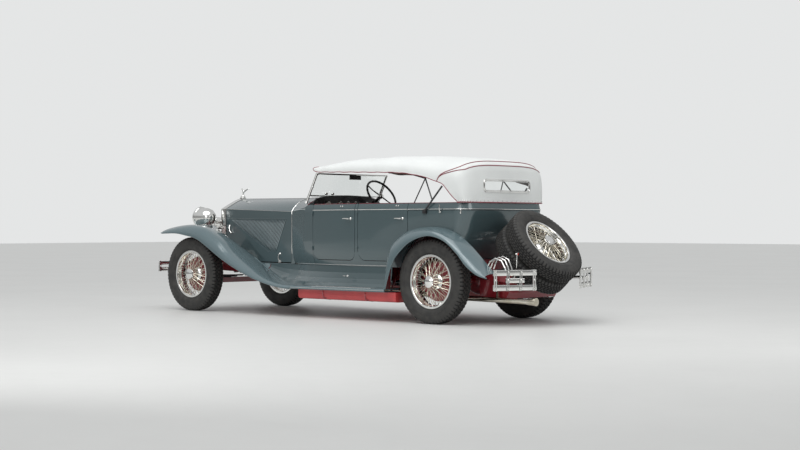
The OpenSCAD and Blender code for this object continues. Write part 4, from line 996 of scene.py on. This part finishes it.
def build_seats():
    for name, rear, front, base, top, back_top in (("front", 960, 1520, 572, 880, 1214),
                                                   ("rear", -70, 500, 702, 900, 1225)):
        seat = Shape()
        cushion(seat, soft_section([(rear + 90, top - 150), (front - 2, top - 170), (front - 2, top - 30),
                                    (front - 70, top - 4), (rear + 90, top - 40)], 60), 556, 13, 16)
        seat.build(f"{name}_seat_cushion", ("maroon_hide",), slot="hide", replaces=[f"{name}_seat"], angle=80)
        back = Shape()
        cushion(back, soft_section([(rear - 20, top - 90), (rear + 118, top - 90), (rear + 66, back_top - 34),
                                    (rear + 20, back_top - 3), (rear - 34, back_top - 6),
                                    (rear - 74, back_top - 64)], 50), 552, 13, 16)
        back.build(f"{name}_seat_back", ("maroon_hide",), slot="hide", replaces=[f"{name}_seat"], angle=80)
        base_box = Shape()
        base_box.block((rear + 2, -540, base + 1), (front - 14, 540, top - 168), 0, 4)
        for y in (-540, 540):
            base_box.tube([(rear + 4, y, top - 172), (front - 16, y, top - 172)], 7, 8, 1)
        base_box.build(f"{name}_seat_base", ("carpet", "maroon_hide"), slot="hide", replaces=[f"{name}_seat"],
                       bevel=8)


# ---------------------------------------------------------------- nose, lamps, bumpers and cabin fittings

def lamp(shape, centre, r, long, glass):
    shape.lathe([[0, -0.55 * long], [r * 0.30, -0.52 * long], [r * 0.60, -0.42 * long], [r * 0.80, -0.26 * long],
                 [r * 0.90, -0.06 * long], [r * 0.93, 0.22 * long], [r * 0.93, 0.28 * long], [r, 0.31 * long],
                 [r, 0.41 * long], [r * 0.96, 0.45 * long], [r * 0.90, 0.45 * long], [r * 0.89, 0.40 * long]],
                centre, (1, 0, 0), 0, 56)
    if glass:
        shape.lathe([[0, 0.50 * long], [r * 0.3, 0.49 * long], [r * 0.6, 0.465 * long], [r * 0.9, 0.42 * long],
                     [r * 0.88, 0.38 * long], [0, 0.42 * long]], centre, (1, 0, 0), 1, 48)
        shape.lathe([[0, -0.3 * long], [r * 0.4, -0.22 * long], [r * 0.7, 0.0], [r * 0.86, 0.36 * long],
                     [r * 0.87, 0.36 * long], [r * 0.72, 0.0], [r * 0.42, -0.24 * long], [0, -0.32 * long]],
                    centre, (1, 0, 0), 0, 40)
    else:
        shape.lathe([[0, 0.1 * long], [r * 0.2, 0.12 * long], [r * 0.5, 0.3 * long], [r * 0.88, 0.43 * long],
                     [r * 0.5, 0.26 * long], [0, 0.06 * long]], centre, (1, 0, 0), 2, 32)


def build_lamps():
    shape = Shape()
    shape.tube([(3850, -448, 948), (3850, -380, 956), (3850, -150, 950), (3850, 150, 950), (3850, 380, 956),
                (3850, 448, 948)], [11, 13, 12, 12, 13, 11], 14, 0)
    for s in (1, -1):
        lamp(shape, (3900, s * 380, 1079), 125, 230, True)
        lamp(shape, (3890, s * 150, 1015), 70, 170, False)
        shape.lathe([[22, 0], [17, 10], [14, 30], [20, 48], [28, 60]], (3860, s * 380, 944), (0.15, 0, 1), 0, 20)
        shape.tube([(3850, s * 150, 950), (3870, s * 150, 990)], [12, 10], 10, 0)
        shape.tube([(3850, s * 355, 948), (3850, s * 355, 700), (3850, s * 355, 560)], [13, 12, 14], 12, 0)
        shape.tube([(3990, s * 380, 1206), (4004, s * 380, 1200)], [5, 8], 8, 0)
    shape.build("lamp_set", ("bright_plate", "lens_glass", "black_iron"), slot="bright_metal", replaces=["headlamps"])


def build_nose():
    shape = Shape()
    # Rounded shell: a section swept round the radiator's outline
    def outline(grow, low):
        half = [nose_point(SHELL_X, t, grow, low) for t in steps(0, 1, 10) + steps(1.05, 2, 20)]
        return half + [Vector((p.x, -p.y, p.z)) for p in reversed(half[:-1])]

    layers = [(SHELL_X, 5, 590), (SHELL_X + 50, 6, 590), (SHELL_X + 76, 4, 591), (SHELL_X + 89, -2, 596),
              (SHELL_X + 92.5, -12, 606), (SHELL_X + 91, -22, 616), (SHELL_X + 86, -31, 626),
              (SHELL_X + 60, -33.5, 629), (SHELL_X + 2, -33.5, 629)]
    rings = []
    for x, grow, low in layers:
        ring = outline(grow, low)
        rings.append([Vector((x, p.y, p.z)) for p in ring])
    m = len(rings[0])
    faces = [[i * m + j, i * m + (j + 1) % m, (i + 1) % len(rings) * m + (j + 1) % m, (i + 1) % len(rings) * m + j]
             for i in range(len(rings)) for j in range(m)]
    shape.add([p for r in rings for p in r], faces, 0)
    cap = (3670, 0, 1300)
    shape.lathe([[36, 2], [36, 12], [30, 18], [32, 24], [26, 32], [10, 38], [0, 38]], cap, (0, 0, 1), 0, 32)
    # A plain pair of swept wings on a waisted stem as the cap's ornament
    shape.lathe([[20, 0], [12, 8], [8, 22], [11, 40], [15, 52], [10, 66], [4, 74], [0, 76]], (3668, 0, 1334),
                (-0.12, 0, 1), 0, 24)
    for s in (1, -1):
        shape.tube([(3662, 0, 1376), (3652, s * 22, 1402), (3640, s * 44, 1418), (3618, s * 58, 1420)],
                   [8, 10, 8, 2], 12, 0, flat=0.45)
    shape.build("radiator_surround", ("bright_plate",), slot="bright_metal", replaces=["radiator_shell"])
    core = Shape()
    for k in range(40):
        y = mix(-262, 262, k / 39)
        w = look(NOSE, SHELL_X, 1) - 34
        top = 1178 + 92 * (1 - (abs(y) / w) ** 1.3) - 4
        core.tube([(3694, y, 634), (3694, y, top)], 4.8, 4, 0, flat=1.6)
    core.add([(3640, y, z) for y, z in ((-265, 632), (265, 632), (265, 1180), (0, 1268), (-265, 1180))]
             + [(3686, y, z) for y, z in ((-265, 632), (265, 632), (265, 1180), (0, 1268), (-265, 1180))],
             [[4, 3, 2, 1, 0], [5, 6, 7, 8, 9]] + [[i, (i + 1) % 5, (i + 1) % 5 + 5, i + 5] for i in range(5)], 0)
    core.build("radiator_slats", ("dark_core",), slot="dark_iron", replaces=["radiator_core"])


def blade(shape, path, z, high, t):
    """A spring bar: a flat bar with rounded edges that follows a path seen from above."""
    rows = []
    for i, (x, y) in enumerate(path):
        a, b = Vector(path[max(i - 1, 0)]), Vector(path[min(i + 1, len(path) - 1)])
        d = (b - a).normalized()
        n = Vector((-d.y, d.x)) * t / 2
        ring = []
        for c, s in [(math.cos(q), math.sin(q)) for q in [math.pi * 2 * k / 16 for k in range(16)]]:
            bend = (abs(c) ** 0.5) * (1 if c > 0 else -1)
            ring.append(Vector((x + n.x * bend, y + n.y * bend, z + high / 2 + high / 2 * s)))
        rows.append(ring)
    m = 16
    shape.add([p for r in rows for p in r],
              [[i * m + j, i * m + (j + 1) % m, (i + 1) * m + (j + 1) % m, (i + 1) * m + j]
               for i in range(len(rows) - 1) for j in range(m)]
              + [list(range(m)), [(len(rows) - 1) * m + j for j in range(m)][::-1]], 0)


def build_bumpers():
    front = Shape()
    path = [(4476 - 18 * max(0, abs(y) / 640) ** 4, y) for y in steps(-640, 640, 30)]
    for z in (440, 511):
        blade(front, path, z, 48, 8)
    for y in (-628, -200, 200, 628):
        x = 4476 - 18 * (abs(y) / 640) ** 4
        front.block((x - 20, y - 14, 437), (x + 3.8, y + 14, 562), 0, 3)
        front.lathe([[0, 9], [7, 8], [9, 4], [9, 0]], (x - 18, y, 500), (-1, 0, 0), 0, 14)
    for s in (1, -1):
        front.tube([(4262, s * 355, 470), (4330, s * 330, 470), (4400, s * 250, 470), (4466, s * 200, 474)],
                   [17, 15, 13, 12], 10, 0, flat=0.6)
    front.build("front_bumper_bars", ("bright_plate",), slot="bright_metal", replaces=["front_bumper"], bevel=2)

    rear = Shape()
    a, b = Vector((-826, 797)), Vector((-1004, 352))
    path = [tuple(a.lerp(b, t)) for t in steps(0, 1, 14)]
    for z in (356, 500):
        blade(rear, path, z, 56, 9)
    blade(rear, path[4:11], 430, 44, 9)
    for t in (0.04, 0.32, 0.62, 0.94):
        p = a.lerp(b, t)
        lean = 26 if t in (0.32, 0.62) else 0
        for dx in (-9, 9):
            rear.tube([(p.x - 5 + dx * 0.4, p.y + dx, 348 + 4), (p.x - 5 + dx * 0.4, p.y + dx - lean * 0.4, 558)],
                      [8, 8], 8, 0, flat=0.8)
        rear.lathe([[0, 10], [8, 9], [11, 5], [11, -2]], (p.x - 12, p.y - lean * 0.2, 458), (-0.93, 0.37, 0), 0, 16)
        rear.lathe([[0, 9], [7, 8], [9, 4], [9, -2]], (p.x - 12, p.y, 374), (-0.93, 0.37, 0), 0, 12)
        rear.lathe([[0, 9], [7, 8], [9, 4], [9, -2]], (p.x - 12, p.y - lean * 0.4, 535), (-0.93, 0.37, 0), 0, 12)
    rear.tube([(-762, 460, 462), (-850, 470, 462), (-930, 500, 462), (-948, 480, 462)], [17, 16, 15, 12], 10, 0,
              flat=0.7)
    rear.both_sides().build("rear_bumper_bars", ("bright_plate",), slot="bright_metal", replaces=["rear_bumper"])


def build_cabin():
    dash = Shape()
    face = 1915
    edge = half_w(face) - 56
    outline = [(edge, 990), (edge, 1200), (530, 1240), (470, 1285), (340, 1310), (170, 1319), (0, 1322)]
    outline = outline + [(-y, z) for y, z in reversed(outline[:-1])]
    rows = [[Vector((x, y * k, 1150 + (z - 1150) * k)) for y, z in outline] for x, k in
            ((1938, 0.99), (1940, 1.0), (1920, 1.0), (face, 0.985))]
    m = len(outline)
    dash.add([p for r in rows for p in r],
             [[i * m + j, i * m + (j + 1) % m, (i + 1) * m + (j + 1) % m, (i + 1) * m + j]
                                            for i in range(3) for j in range(m)]
             + [list(range(m))[::-1], [3 * m + j for j in range(m)]], 0)
    for y, z, r in ((-300, 1180, 62), (-120, 1200, 48), (0, 1200, 48), (120, 1200, 48), (300, 1190, 56),
                    (-430, 1180, 36)):
        dash.lathe([[r + 6, 2], [r + 6, 8], [r + 2, 12], [r - 2, 9]], (face, y, z), (-1, 0, 0), 1, 32)
        dash.lathe([[0, 5], [r, 5], [r, 1]], (face, y, z), (-1, 0, 0), 2, 32)
        dash.tube([(face - 7, y, z), (face - 7, y + r * 0.5, z + r * 0.5)], 1.5, 5, 0)
    for y in (-200, -60, 60, 200, 400):
        dash.lathe([[4, 0], [4, 14], [9, 16], [10, 22], [6, 27], [0, 28]], (face, y, 1100), (-1, 0, 0), 1, 16)
    for y in (230, 330):
        dash.lathe([[6, 0], [6, 14], [16, 20], [20, 30], [14, 40], [0, 43]], (1925, y, 1305), (0, 0, 1), 1, 20)
    d = Vector((-math.cos(COLUMN_RAKE), 0, math.sin(COLUMN_RAKE)))
    c = Vector((1707, -350, 1339))
    dash.tube([c - 600 * d, c - 200 * d, c - 87 * d], [21, 20, 17], 16, 0)
    dash.build("dash_panel", ("black_iron", "bright_plate", "dial_face"), slot="dark_iron", replaces=["dashboard"])

    wheel = Shape()
    c = c - 30 * d
    e1, e2 = Vector((0, 1, 0)), d.cross(Vector((0, 1, 0)))
    ring = [c + HAND_RIM * (e1 * math.cos(a) + e2 * math.sin(a)) for a in steps(0, 2 * math.pi, 96)[:-1]]
    wheel.tube(ring, [11.5 + 1.5 * abs(math.sin(k * math.pi / 4)) for k in range(96)], 14, 0, closed=True)
    for k in range(4):
        a = math.radians(45 + 90 * k)
        out = e1 * math.cos(a) + e2 * math.sin(a)
        wheel.tube([c - 12 * d + 22 * out, c - 14 * d + 110 * out, c - 2 * d + (HAND_RIM - 8) * out],
                   [9, 6.5, 7.5], 10, 0, flat=0.7)
    wheel.lathe([[24, -39], [28, -30], [29, -6], [30, 0], [27, 5], [16, 9], [0, 11]], c, d, 1, 28)
    wheel.tube([c + 4 * d + 10 * e1, c + 8 * d + 46 * e1, c + 9 * d + 70 * e1], [3, 3, 5], 8, 1)
    wheel.build("hand_wheel", ("black_iron", "bright_plate"), body="steering_wheel", slot="dark_iron",
                replaces=["steering_wheel"])

    levers = Shape()
    levers.tube([(1700, -60, 572), (1660, -60, 700), (1600, -60, 830)], [9, 7, 6], 10, 0)
    levers.lathe([[0, -18], [14, -12], [18, 0], [14, 12], [0, 18]], (1597, -60, 842), (-0.4, 0, 1), 1, 20)
    levers.tube([(1640, 30, 572), (1640, 30, 700), (1560, 30, 860)], [9, 8, 7], 10, 0)
    levers.build("floor_levers", ("bright_plate", "black_iron"), slot="bright_metal")

    screen = Shape()
    foot, head = Vector((2006, 0, 1233.8)), Vector((1838, 0, 1554))
    up = (head - foot).normalized()
    for s in (1, -1):
        screen.tube([foot + Vector((0, s * SCREEN_POST, 0)) + up * 2, head + Vector((0, s * SCREEN_POST, 0))], [13, 11], 16, 0)
        screen.lathe([[24, -2], [23, 6], [16, 14], [14, 30]], foot + Vector((0, s * SCREEN_POST, 0)) - up * 1, up, 0, 20)
        screen.lathe([[0, 12], [9, 10], [12, 4], [12, -4]], foot + up * 190 + Vector((-6, s * SCREEN_POST, 0)),
                     (-1, 0, -0.5), 0, 16)
    low, high = foot + up * 87, head - up * 7
    out = Vector((0, 547, 0))
    loop = [low + out, high + out, high - out, low - out]
    path = []
    for i in range(4):
        p, q, r = loop[i - 1], loop[i], loop[(i + 1) % 4]
        path += [q + (p - q).normalized() * 22, q + (p - q).normalized() * 6 + (r - q).normalized() * 6,
                 q + (r - q).normalized() * 22]
    screen.tube(path, 8.5, 10, 0, closed=True)
    middle = foot + up * 92
    screen.tube([middle + Vector((3, 530, 0)), middle + Vector((3, -530, 0))], 4, 8, 0)
    screen.build("windscreen_surround", ("bright_plate",), slot="bright_metal", replaces=["windscreen_frame"])
    mirror = Shape()
    mirror.block((1796, -90, 1492), (1806, 90, 1542), 0, 2)
    mirror.tube([(1806, 0, 1530), (1830, 0, 1552)], 4, 8, 0)
    mirror.build("rear_mirror", ("black_iron",), slot="dark_iron", bevel=3)


def build_tail():
    shape = Shape()
    # Looped bumper irons beside the spare wheels, and the tail lamps on their rods
    for s in (1, -1):
        for k, lift in ((0, 0), (1, 30), (2, 62)):
            y = 600 - 34 * k
            shape.tube([(-600 - 14 * k, s * (y + 20), 560), (-628 - 20 * k, s * (y + 12), 628 + lift * 0.4),
                        (-690 - 20 * k, s * y, 664 + lift * 0.3), (-760 - 16 * k, s * (y - 12), 640 + lift * 0.2),
                        (-800 - 12 * k, s * (y - 18), 566), (-806 - 12 * k, s * (y - 18), 500)], 9, 10, 0)
        shape.tube([(-820, s * 470, 470), (-850, s * 470, 560), (-856, s * 470, 700)], [7, 5, 4.5], 10, 0)
        shape.tube([(-858, s * 446, 706), (-858, s * 452, 706), (-858, s * 488, 706), (-858, s * 494, 706)],
                   [4, 9, 9, 4], 12, 0)
        shape.lathe([[0, -14], [9, -12], [16, -4], [17, 6], [14, 9], [12, 9]], (-862, s * 470, 706), (-1, 0, 0),
                    0, 20)
        shape.lathe([[0, 12], [7, 11], [13, 8], [13, 5], [0, 5]], (-862, s * 470, 706), (-1, 0, 0), 1, 20)
        # Hood rest hooks on the tail
        y = s * 636
        shape.tube([(-268, y * 0.985, 1100), (-276, y * 1.0, 1104), (-282, y * 1.005, 1130), (-272, y * 1.0, 1158),
                    (-262, y * 0.99, 1162)], [7, 6, 6, 6, 8], 10, 0)
        # Paired studs on the belt and the chrome prop with its foot
        for x in (1330, 1300, 520, 492):
            w = half_w(x)
            shape.lathe([[0, 8], [5, 7], [8, 3], [8, -1]], (x, s * (w - 4), 1186), (0, s, 0.2), 0, 14)
        shape.tube([(-60, s * 700, 1120), (-58, s * 706, 1150), (-56, s * 704, 1195)], [6, 5, 5], 10, 0)
        shape.lathe([[0, 9], [8, 8], [11, 3], [11, -2]], (-60, s * 697, 1120), (0, s, 0), 0, 14)
        # Lock on the valance
        shape.lathe([[0, 8], [10, 7], [13, 3], [13, -3]], (1180, s * 752, 455), (0, s, 0.3), 0, 16)
        shape.tube([(1200, s * 758, 455), (1240, s * 757, 456)], [7, 5], 8, 0)
    # Gland and cap of the fuel tank
    shape.lathe([[0, 18], [20, 17], [26, 12], [26, 0]], (-690, 250, 400), (-1, 0, 0), 0, 20)
    shape.build("tail_fittings", ("bright_plate", "ruby_glass"), slot="bright_metal")
    tip = Shape()
    tip.lathe([[30, -10], [31, 30], [34, 60], [38, 95], [39, 100], [36, 100], [30, 60], [27, 10]], (-968, 440, 245),
              (-1, 0, 0), 0, 28)
    tip.build("exhaust_tip", ("bright_plate",), slot="bright_metal")


# ---------------------------------------------------------------- stage

def build_stage(floor_colour):
    floor = bpy.data.meshes.new("floor")
    size = 60
    floor.from_pydata([(-size, -size, 0), (size, -size, 0), (size, size, 0), (-size, size, 0)], [], [[0, 1, 2, 3]])
    finish("studio_floor", tint(floor_colour, 0.97), floor_colour, (0.35, 0.5), patch=0.6, grain=40, bump=0.02)
    floor.materials.append(MATERIALS["studio_floor"])
    piece = bpy.data.objects.new("floor", floor)
    bpy.context.scene.collection.objects.link(piece)

    world = bpy.data.worlds.new("studio")
    bpy.context.scene.world = world
    world.use_nodes = True
    nodes, links = world.node_tree.nodes, world.node_tree.links
    # Reflections and light meet a dim band at eye level under a pale ceiling; the camera, also through glass, doesn't
    plain = nodes["Background"]
    plain.inputs["Strength"].default_value = 0.68
    way = nodes.new("ShaderNodeTexCoord")
    height = nodes.new("ShaderNodeSeparateXYZ")
    links.new(way.outputs["Generated"], height.inputs["Vector"])
    band = nodes.new("ShaderNodeValToRGB")
    band.color_ramp.elements[0].position, band.color_ramp.elements[1].position = 0.06, 0.34
    band.color_ramp.elements[0].color = (0.30, 0.30, 0.30, 1)
    band.color_ramp.elements[1].color = (0.86, 0.87, 0.88, 1)
    links.new(height.outputs["Z"], band.inputs["Fac"])
    links.new(band.outputs["Color"], plain.inputs["Color"])
    seen = nodes.new("ShaderNodeBackground")
    seen.inputs["Color"].default_value = (0.78, 0.79, 0.79, 1)
    ray = nodes.new("ShaderNodeLightPath")
    direct = nodes.new("ShaderNodeMath")
    direct.operation = "MAXIMUM"
    links.new(ray.outputs["Is Camera Ray"], direct.inputs[0])
    links.new(ray.outputs["Is Transmission Ray"], direct.inputs[1])
    choice = nodes.new("ShaderNodeMixShader")
    links.new(direct.outputs["Value"], choice.inputs["Fac"])
    links.new(plain.outputs["Background"], choice.inputs[1])
    links.new(seen.outputs["Background"], choice.inputs[2])
    links.new(choice.outputs["Shader"], nodes["World Output"].inputs["Surface"])
    sun = bpy.data.lights.new("soft_sun", "SUN")
    sun.energy, sun.angle = 1.15, math.radians(50)
    sun_piece = bpy.data.objects.new("soft_sun", sun)
    sun_piece.rotation_euler = (Vector((1.2, -2.6, -4.2))).to_track_quat("-Z", "Y").to_euler()
    bpy.context.scene.collection.objects.link(sun_piece)
    for name, place, aim, power, size in (
            ("overhead", (-1.0, 1.5, 6.5), (0, 0, 0.6), 120, 5.0),
            ("side", (-3.5, 7.5, 3.0), (0, 0, 0.8), 70, 3.0),
            ("rear", (-8.0, 0.5, 3.4), (-1.5, 0, 0.8), 50, 2.5)):
        lamp_data = bpy.data.lights.new(name, "AREA")
        lamp_data.energy, lamp_data.size = power, size
        lamp_piece = bpy.data.objects.new(name, lamp_data)
        lamp_piece.location = place
        lamp_piece.rotation_euler = (Vector(aim) - Vector(place)).to_track_quat("-Z", "Y").to_euler()
        bpy.context.scene.collection.objects.link(lamp_piece)

    eye = bpy.data.cameras.new("camera")
    eye.lens, eye.sensor_width = 70, 36
    camera = bpy.data.objects.new("camera", eye)
    camera.location = (-11.941, 12.374, 0.990)
    camera.rotation_euler = (math.radians(90), 0, math.radians(-137.34))
    bpy.context.scene.collection.objects.link(camera)
    bpy.context.scene.camera = camera
    bpy.context.scene.view_settings.view_transform = "Standard"


# ---------------------------------------------------------------- add-on

class TouringCarColours(bpy.types.PropertyGroup):
    """Colours of the car, in linear values"""
    body: bpy.props.FloatVectorProperty(name="Body", description="Lacquer of the body and bonnet", subtype="COLOR",
                                        size=3, min=0, max=1, default=(0.062, 0.096, 0.104))
    wings: bpy.props.FloatVectorProperty(name="Wings", description="Lacquer of the wings and running boards",
                                         subtype="COLOR", size=3, min=0, max=1, default=(0.105, 0.155, 0.170))
    frame: bpy.props.FloatVectorProperty(name="Frame", description="Lacquer of the frame, axles and drums",
                                         subtype="COLOR", size=3, min=0, max=1, default=(0.230, 0.010, 0.018))
    hide: bpy.props.FloatVectorProperty(name="Hide", description="Leather of the seats and trim", subtype="COLOR",
                                        size=3, min=0, max=1, default=(0.130, 0.012, 0.022))
    top: bpy.props.FloatVectorProperty(name="Top", description="Canvas of the folding top", subtype="COLOR", size=3,
                                       min=0, max=1, default=(0.720, 0.740, 0.730))
    floor: bpy.props.FloatVectorProperty(name="Floor", description="Floor of the stage", subtype="COLOR", size=3,
                                         min=0, max=1, default=(0.700, 0.705, 0.690))


class TouringCarCounts(bpy.types.PropertyGroup):
    """Counts of repeated details"""
    spokes: bpy.props.IntProperty(name="Spokes", description="Spokes of one wheel", default=64, min=24, max=80)
    louvres: bpy.props.IntProperty(name="Louvres", description="Louvres of one bonnet side", default=40, min=8,
                                   max=60)


class OBJECT_OT_car_finishes(bpy.types.Operator):
    """Make the finishes and give them to the kept frame parts"""
    bl_idname = "object.car_finishes"
    bl_label = "Finishes"

    def execute(self, context):
        make_finishes(context.scene.car_colours)
        finish_nodes()
        return {"FINISHED"}


class OBJECT_OT_car_wings(bpy.types.Operator):
    """Add the wings, the running boards and the trays below them"""
    bl_idname = "object.car_wings"
    bl_label = "Wings and boards"

    def execute(self, context):
        build_wings()
        build_boards()
        build_trays()
        return {"FINISHED"}


class OBJECT_OT_car_body(bpy.types.Operator):
    """Add the body shell, the doors and the cowl"""
    bl_idname = "object.car_body"
    bl_label = "Body and doors"

    def execute(self, context):
        build_body()
        door_piece("front", DOOR_FRONT - EDGE, POST_X + POST_DOOR, 40)
        door_piece("rear", POST_X - POST_DOOR, DOOR_REAR + EDGE, 24)
        build_cowl()
        return {"FINISHED"}


class OBJECT_OT_car_bonnet(bpy.types.Operator):
    """Add the four bonnet panels with their louvres"""
    bl_idname = "object.car_bonnet"
    bl_label = "Bonnet"

    def execute(self, context):
        build_bonnet(context.scene.car_counts.louvres)
        return {"FINISHED"}


class OBJECT_OT_car_wheels(bpy.types.Operator):
    """Add the wire wheels and tyres, with the two spares"""
    bl_idname = "object.car_wheels"
    bl_label = "Wheels and tyres"

    def execute(self, context):
        build_wheels(context.scene.car_counts.spokes)
        return {"FINISHED"}


class OBJECT_OT_car_top(bpy.types.Operator):
    """Add the fabric top with its piping and rear window"""
    bl_idname = "object.car_top"
    bl_label = "Folding top"

    def execute(self, context):
        build_top()
        return {"FINISHED"}


class OBJECT_OT_car_seats(bpy.types.Operator):
    """Add the pleated leather seats"""
    bl_idname = "object.car_seats"
    bl_label = "Seats"

    def execute(self, context):
        build_seats()
        return {"FINISHED"}


class OBJECT_OT_car_nose(bpy.types.Operator):
    """Add the radiator surround, the lamps and the horns"""
    bl_idname = "object.car_nose"
    bl_label = "Radiator and lamps"

    def execute(self, context):
        build_nose()
        build_lamps()
        return {"FINISHED"}


class OBJECT_OT_car_fittings(bpy.types.Operator):
    """Add the bumpers, the cabin fittings and the tail fittings"""
    bl_idname = "object.car_fittings"
    bl_label = "Bumpers and fittings"

    def execute(self, context):
        build_bumpers()
        build_cabin()
        build_tail()
        return {"FINISHED"}


class OBJECT_OT_car_stage(bpy.types.Operator):
    """Add the floor, the lights and the camera"""
    bl_idname = "object.car_stage"
    bl_label = "Stage"

    def execute(self, context):
        build_stage(tuple(context.scene.car_colours.floor))
        return {"FINISHED"}


OPERATORS = (
    OBJECT_OT_car_finishes, OBJECT_OT_car_wings, OBJECT_OT_car_body, OBJECT_OT_car_bonnet, OBJECT_OT_car_wheels,
    OBJECT_OT_car_top, OBJECT_OT_car_seats, OBJECT_OT_car_nose, OBJECT_OT_car_fittings, OBJECT_OT_car_stage,
)


class VIEW3D_PT_touring_car(bpy.types.Panel):
    """Lists the steps and sizes of the car"""
    bl_label = "Touring Car"
    bl_idname = "VIEW3D_PT_touring_car"
    bl_space_type = "VIEW_3D"
    bl_region_type = "UI"
    bl_category = "Touring Car"

    def draw(self, context):
        for group in (context.scene.car_colours, context.scene.car_counts):
            for name in group.__annotations__:
                self.layout.prop(group, name)
        for operator in OPERATORS:
            self.layout.operator(operator.bl_idname)


CLASSES = (TouringCarColours, TouringCarCounts, *OPERATORS, VIEW3D_PT_touring_car)


def register():
    for cls in CLASSES:
        bpy.utils.register_class(cls)
    bpy.types.Scene.car_colours = bpy.props.PointerProperty(type=TouringCarColours)
    bpy.types.Scene.car_counts = bpy.props.PointerProperty(type=TouringCarCounts)


def unregister():
    del bpy.types.Scene.car_colours
    del bpy.types.Scene.car_counts
    for cls in reversed(CLASSES):
        bpy.utils.unregister_class(cls)


def main():
    register()
    bpy.ops.object.car_finishes()
    bpy.ops.object.car_wings()
    bpy.ops.object.car_body()
    bpy.ops.object.car_bonnet()
    bpy.ops.object.car_wheels()
    bpy.ops.object.car_top()
    bpy.ops.object.car_seats()
    bpy.ops.object.car_nose()
    bpy.ops.object.car_fittings()
    bpy.ops.object.car_stage()


if __name__ == "__main__":
    main()
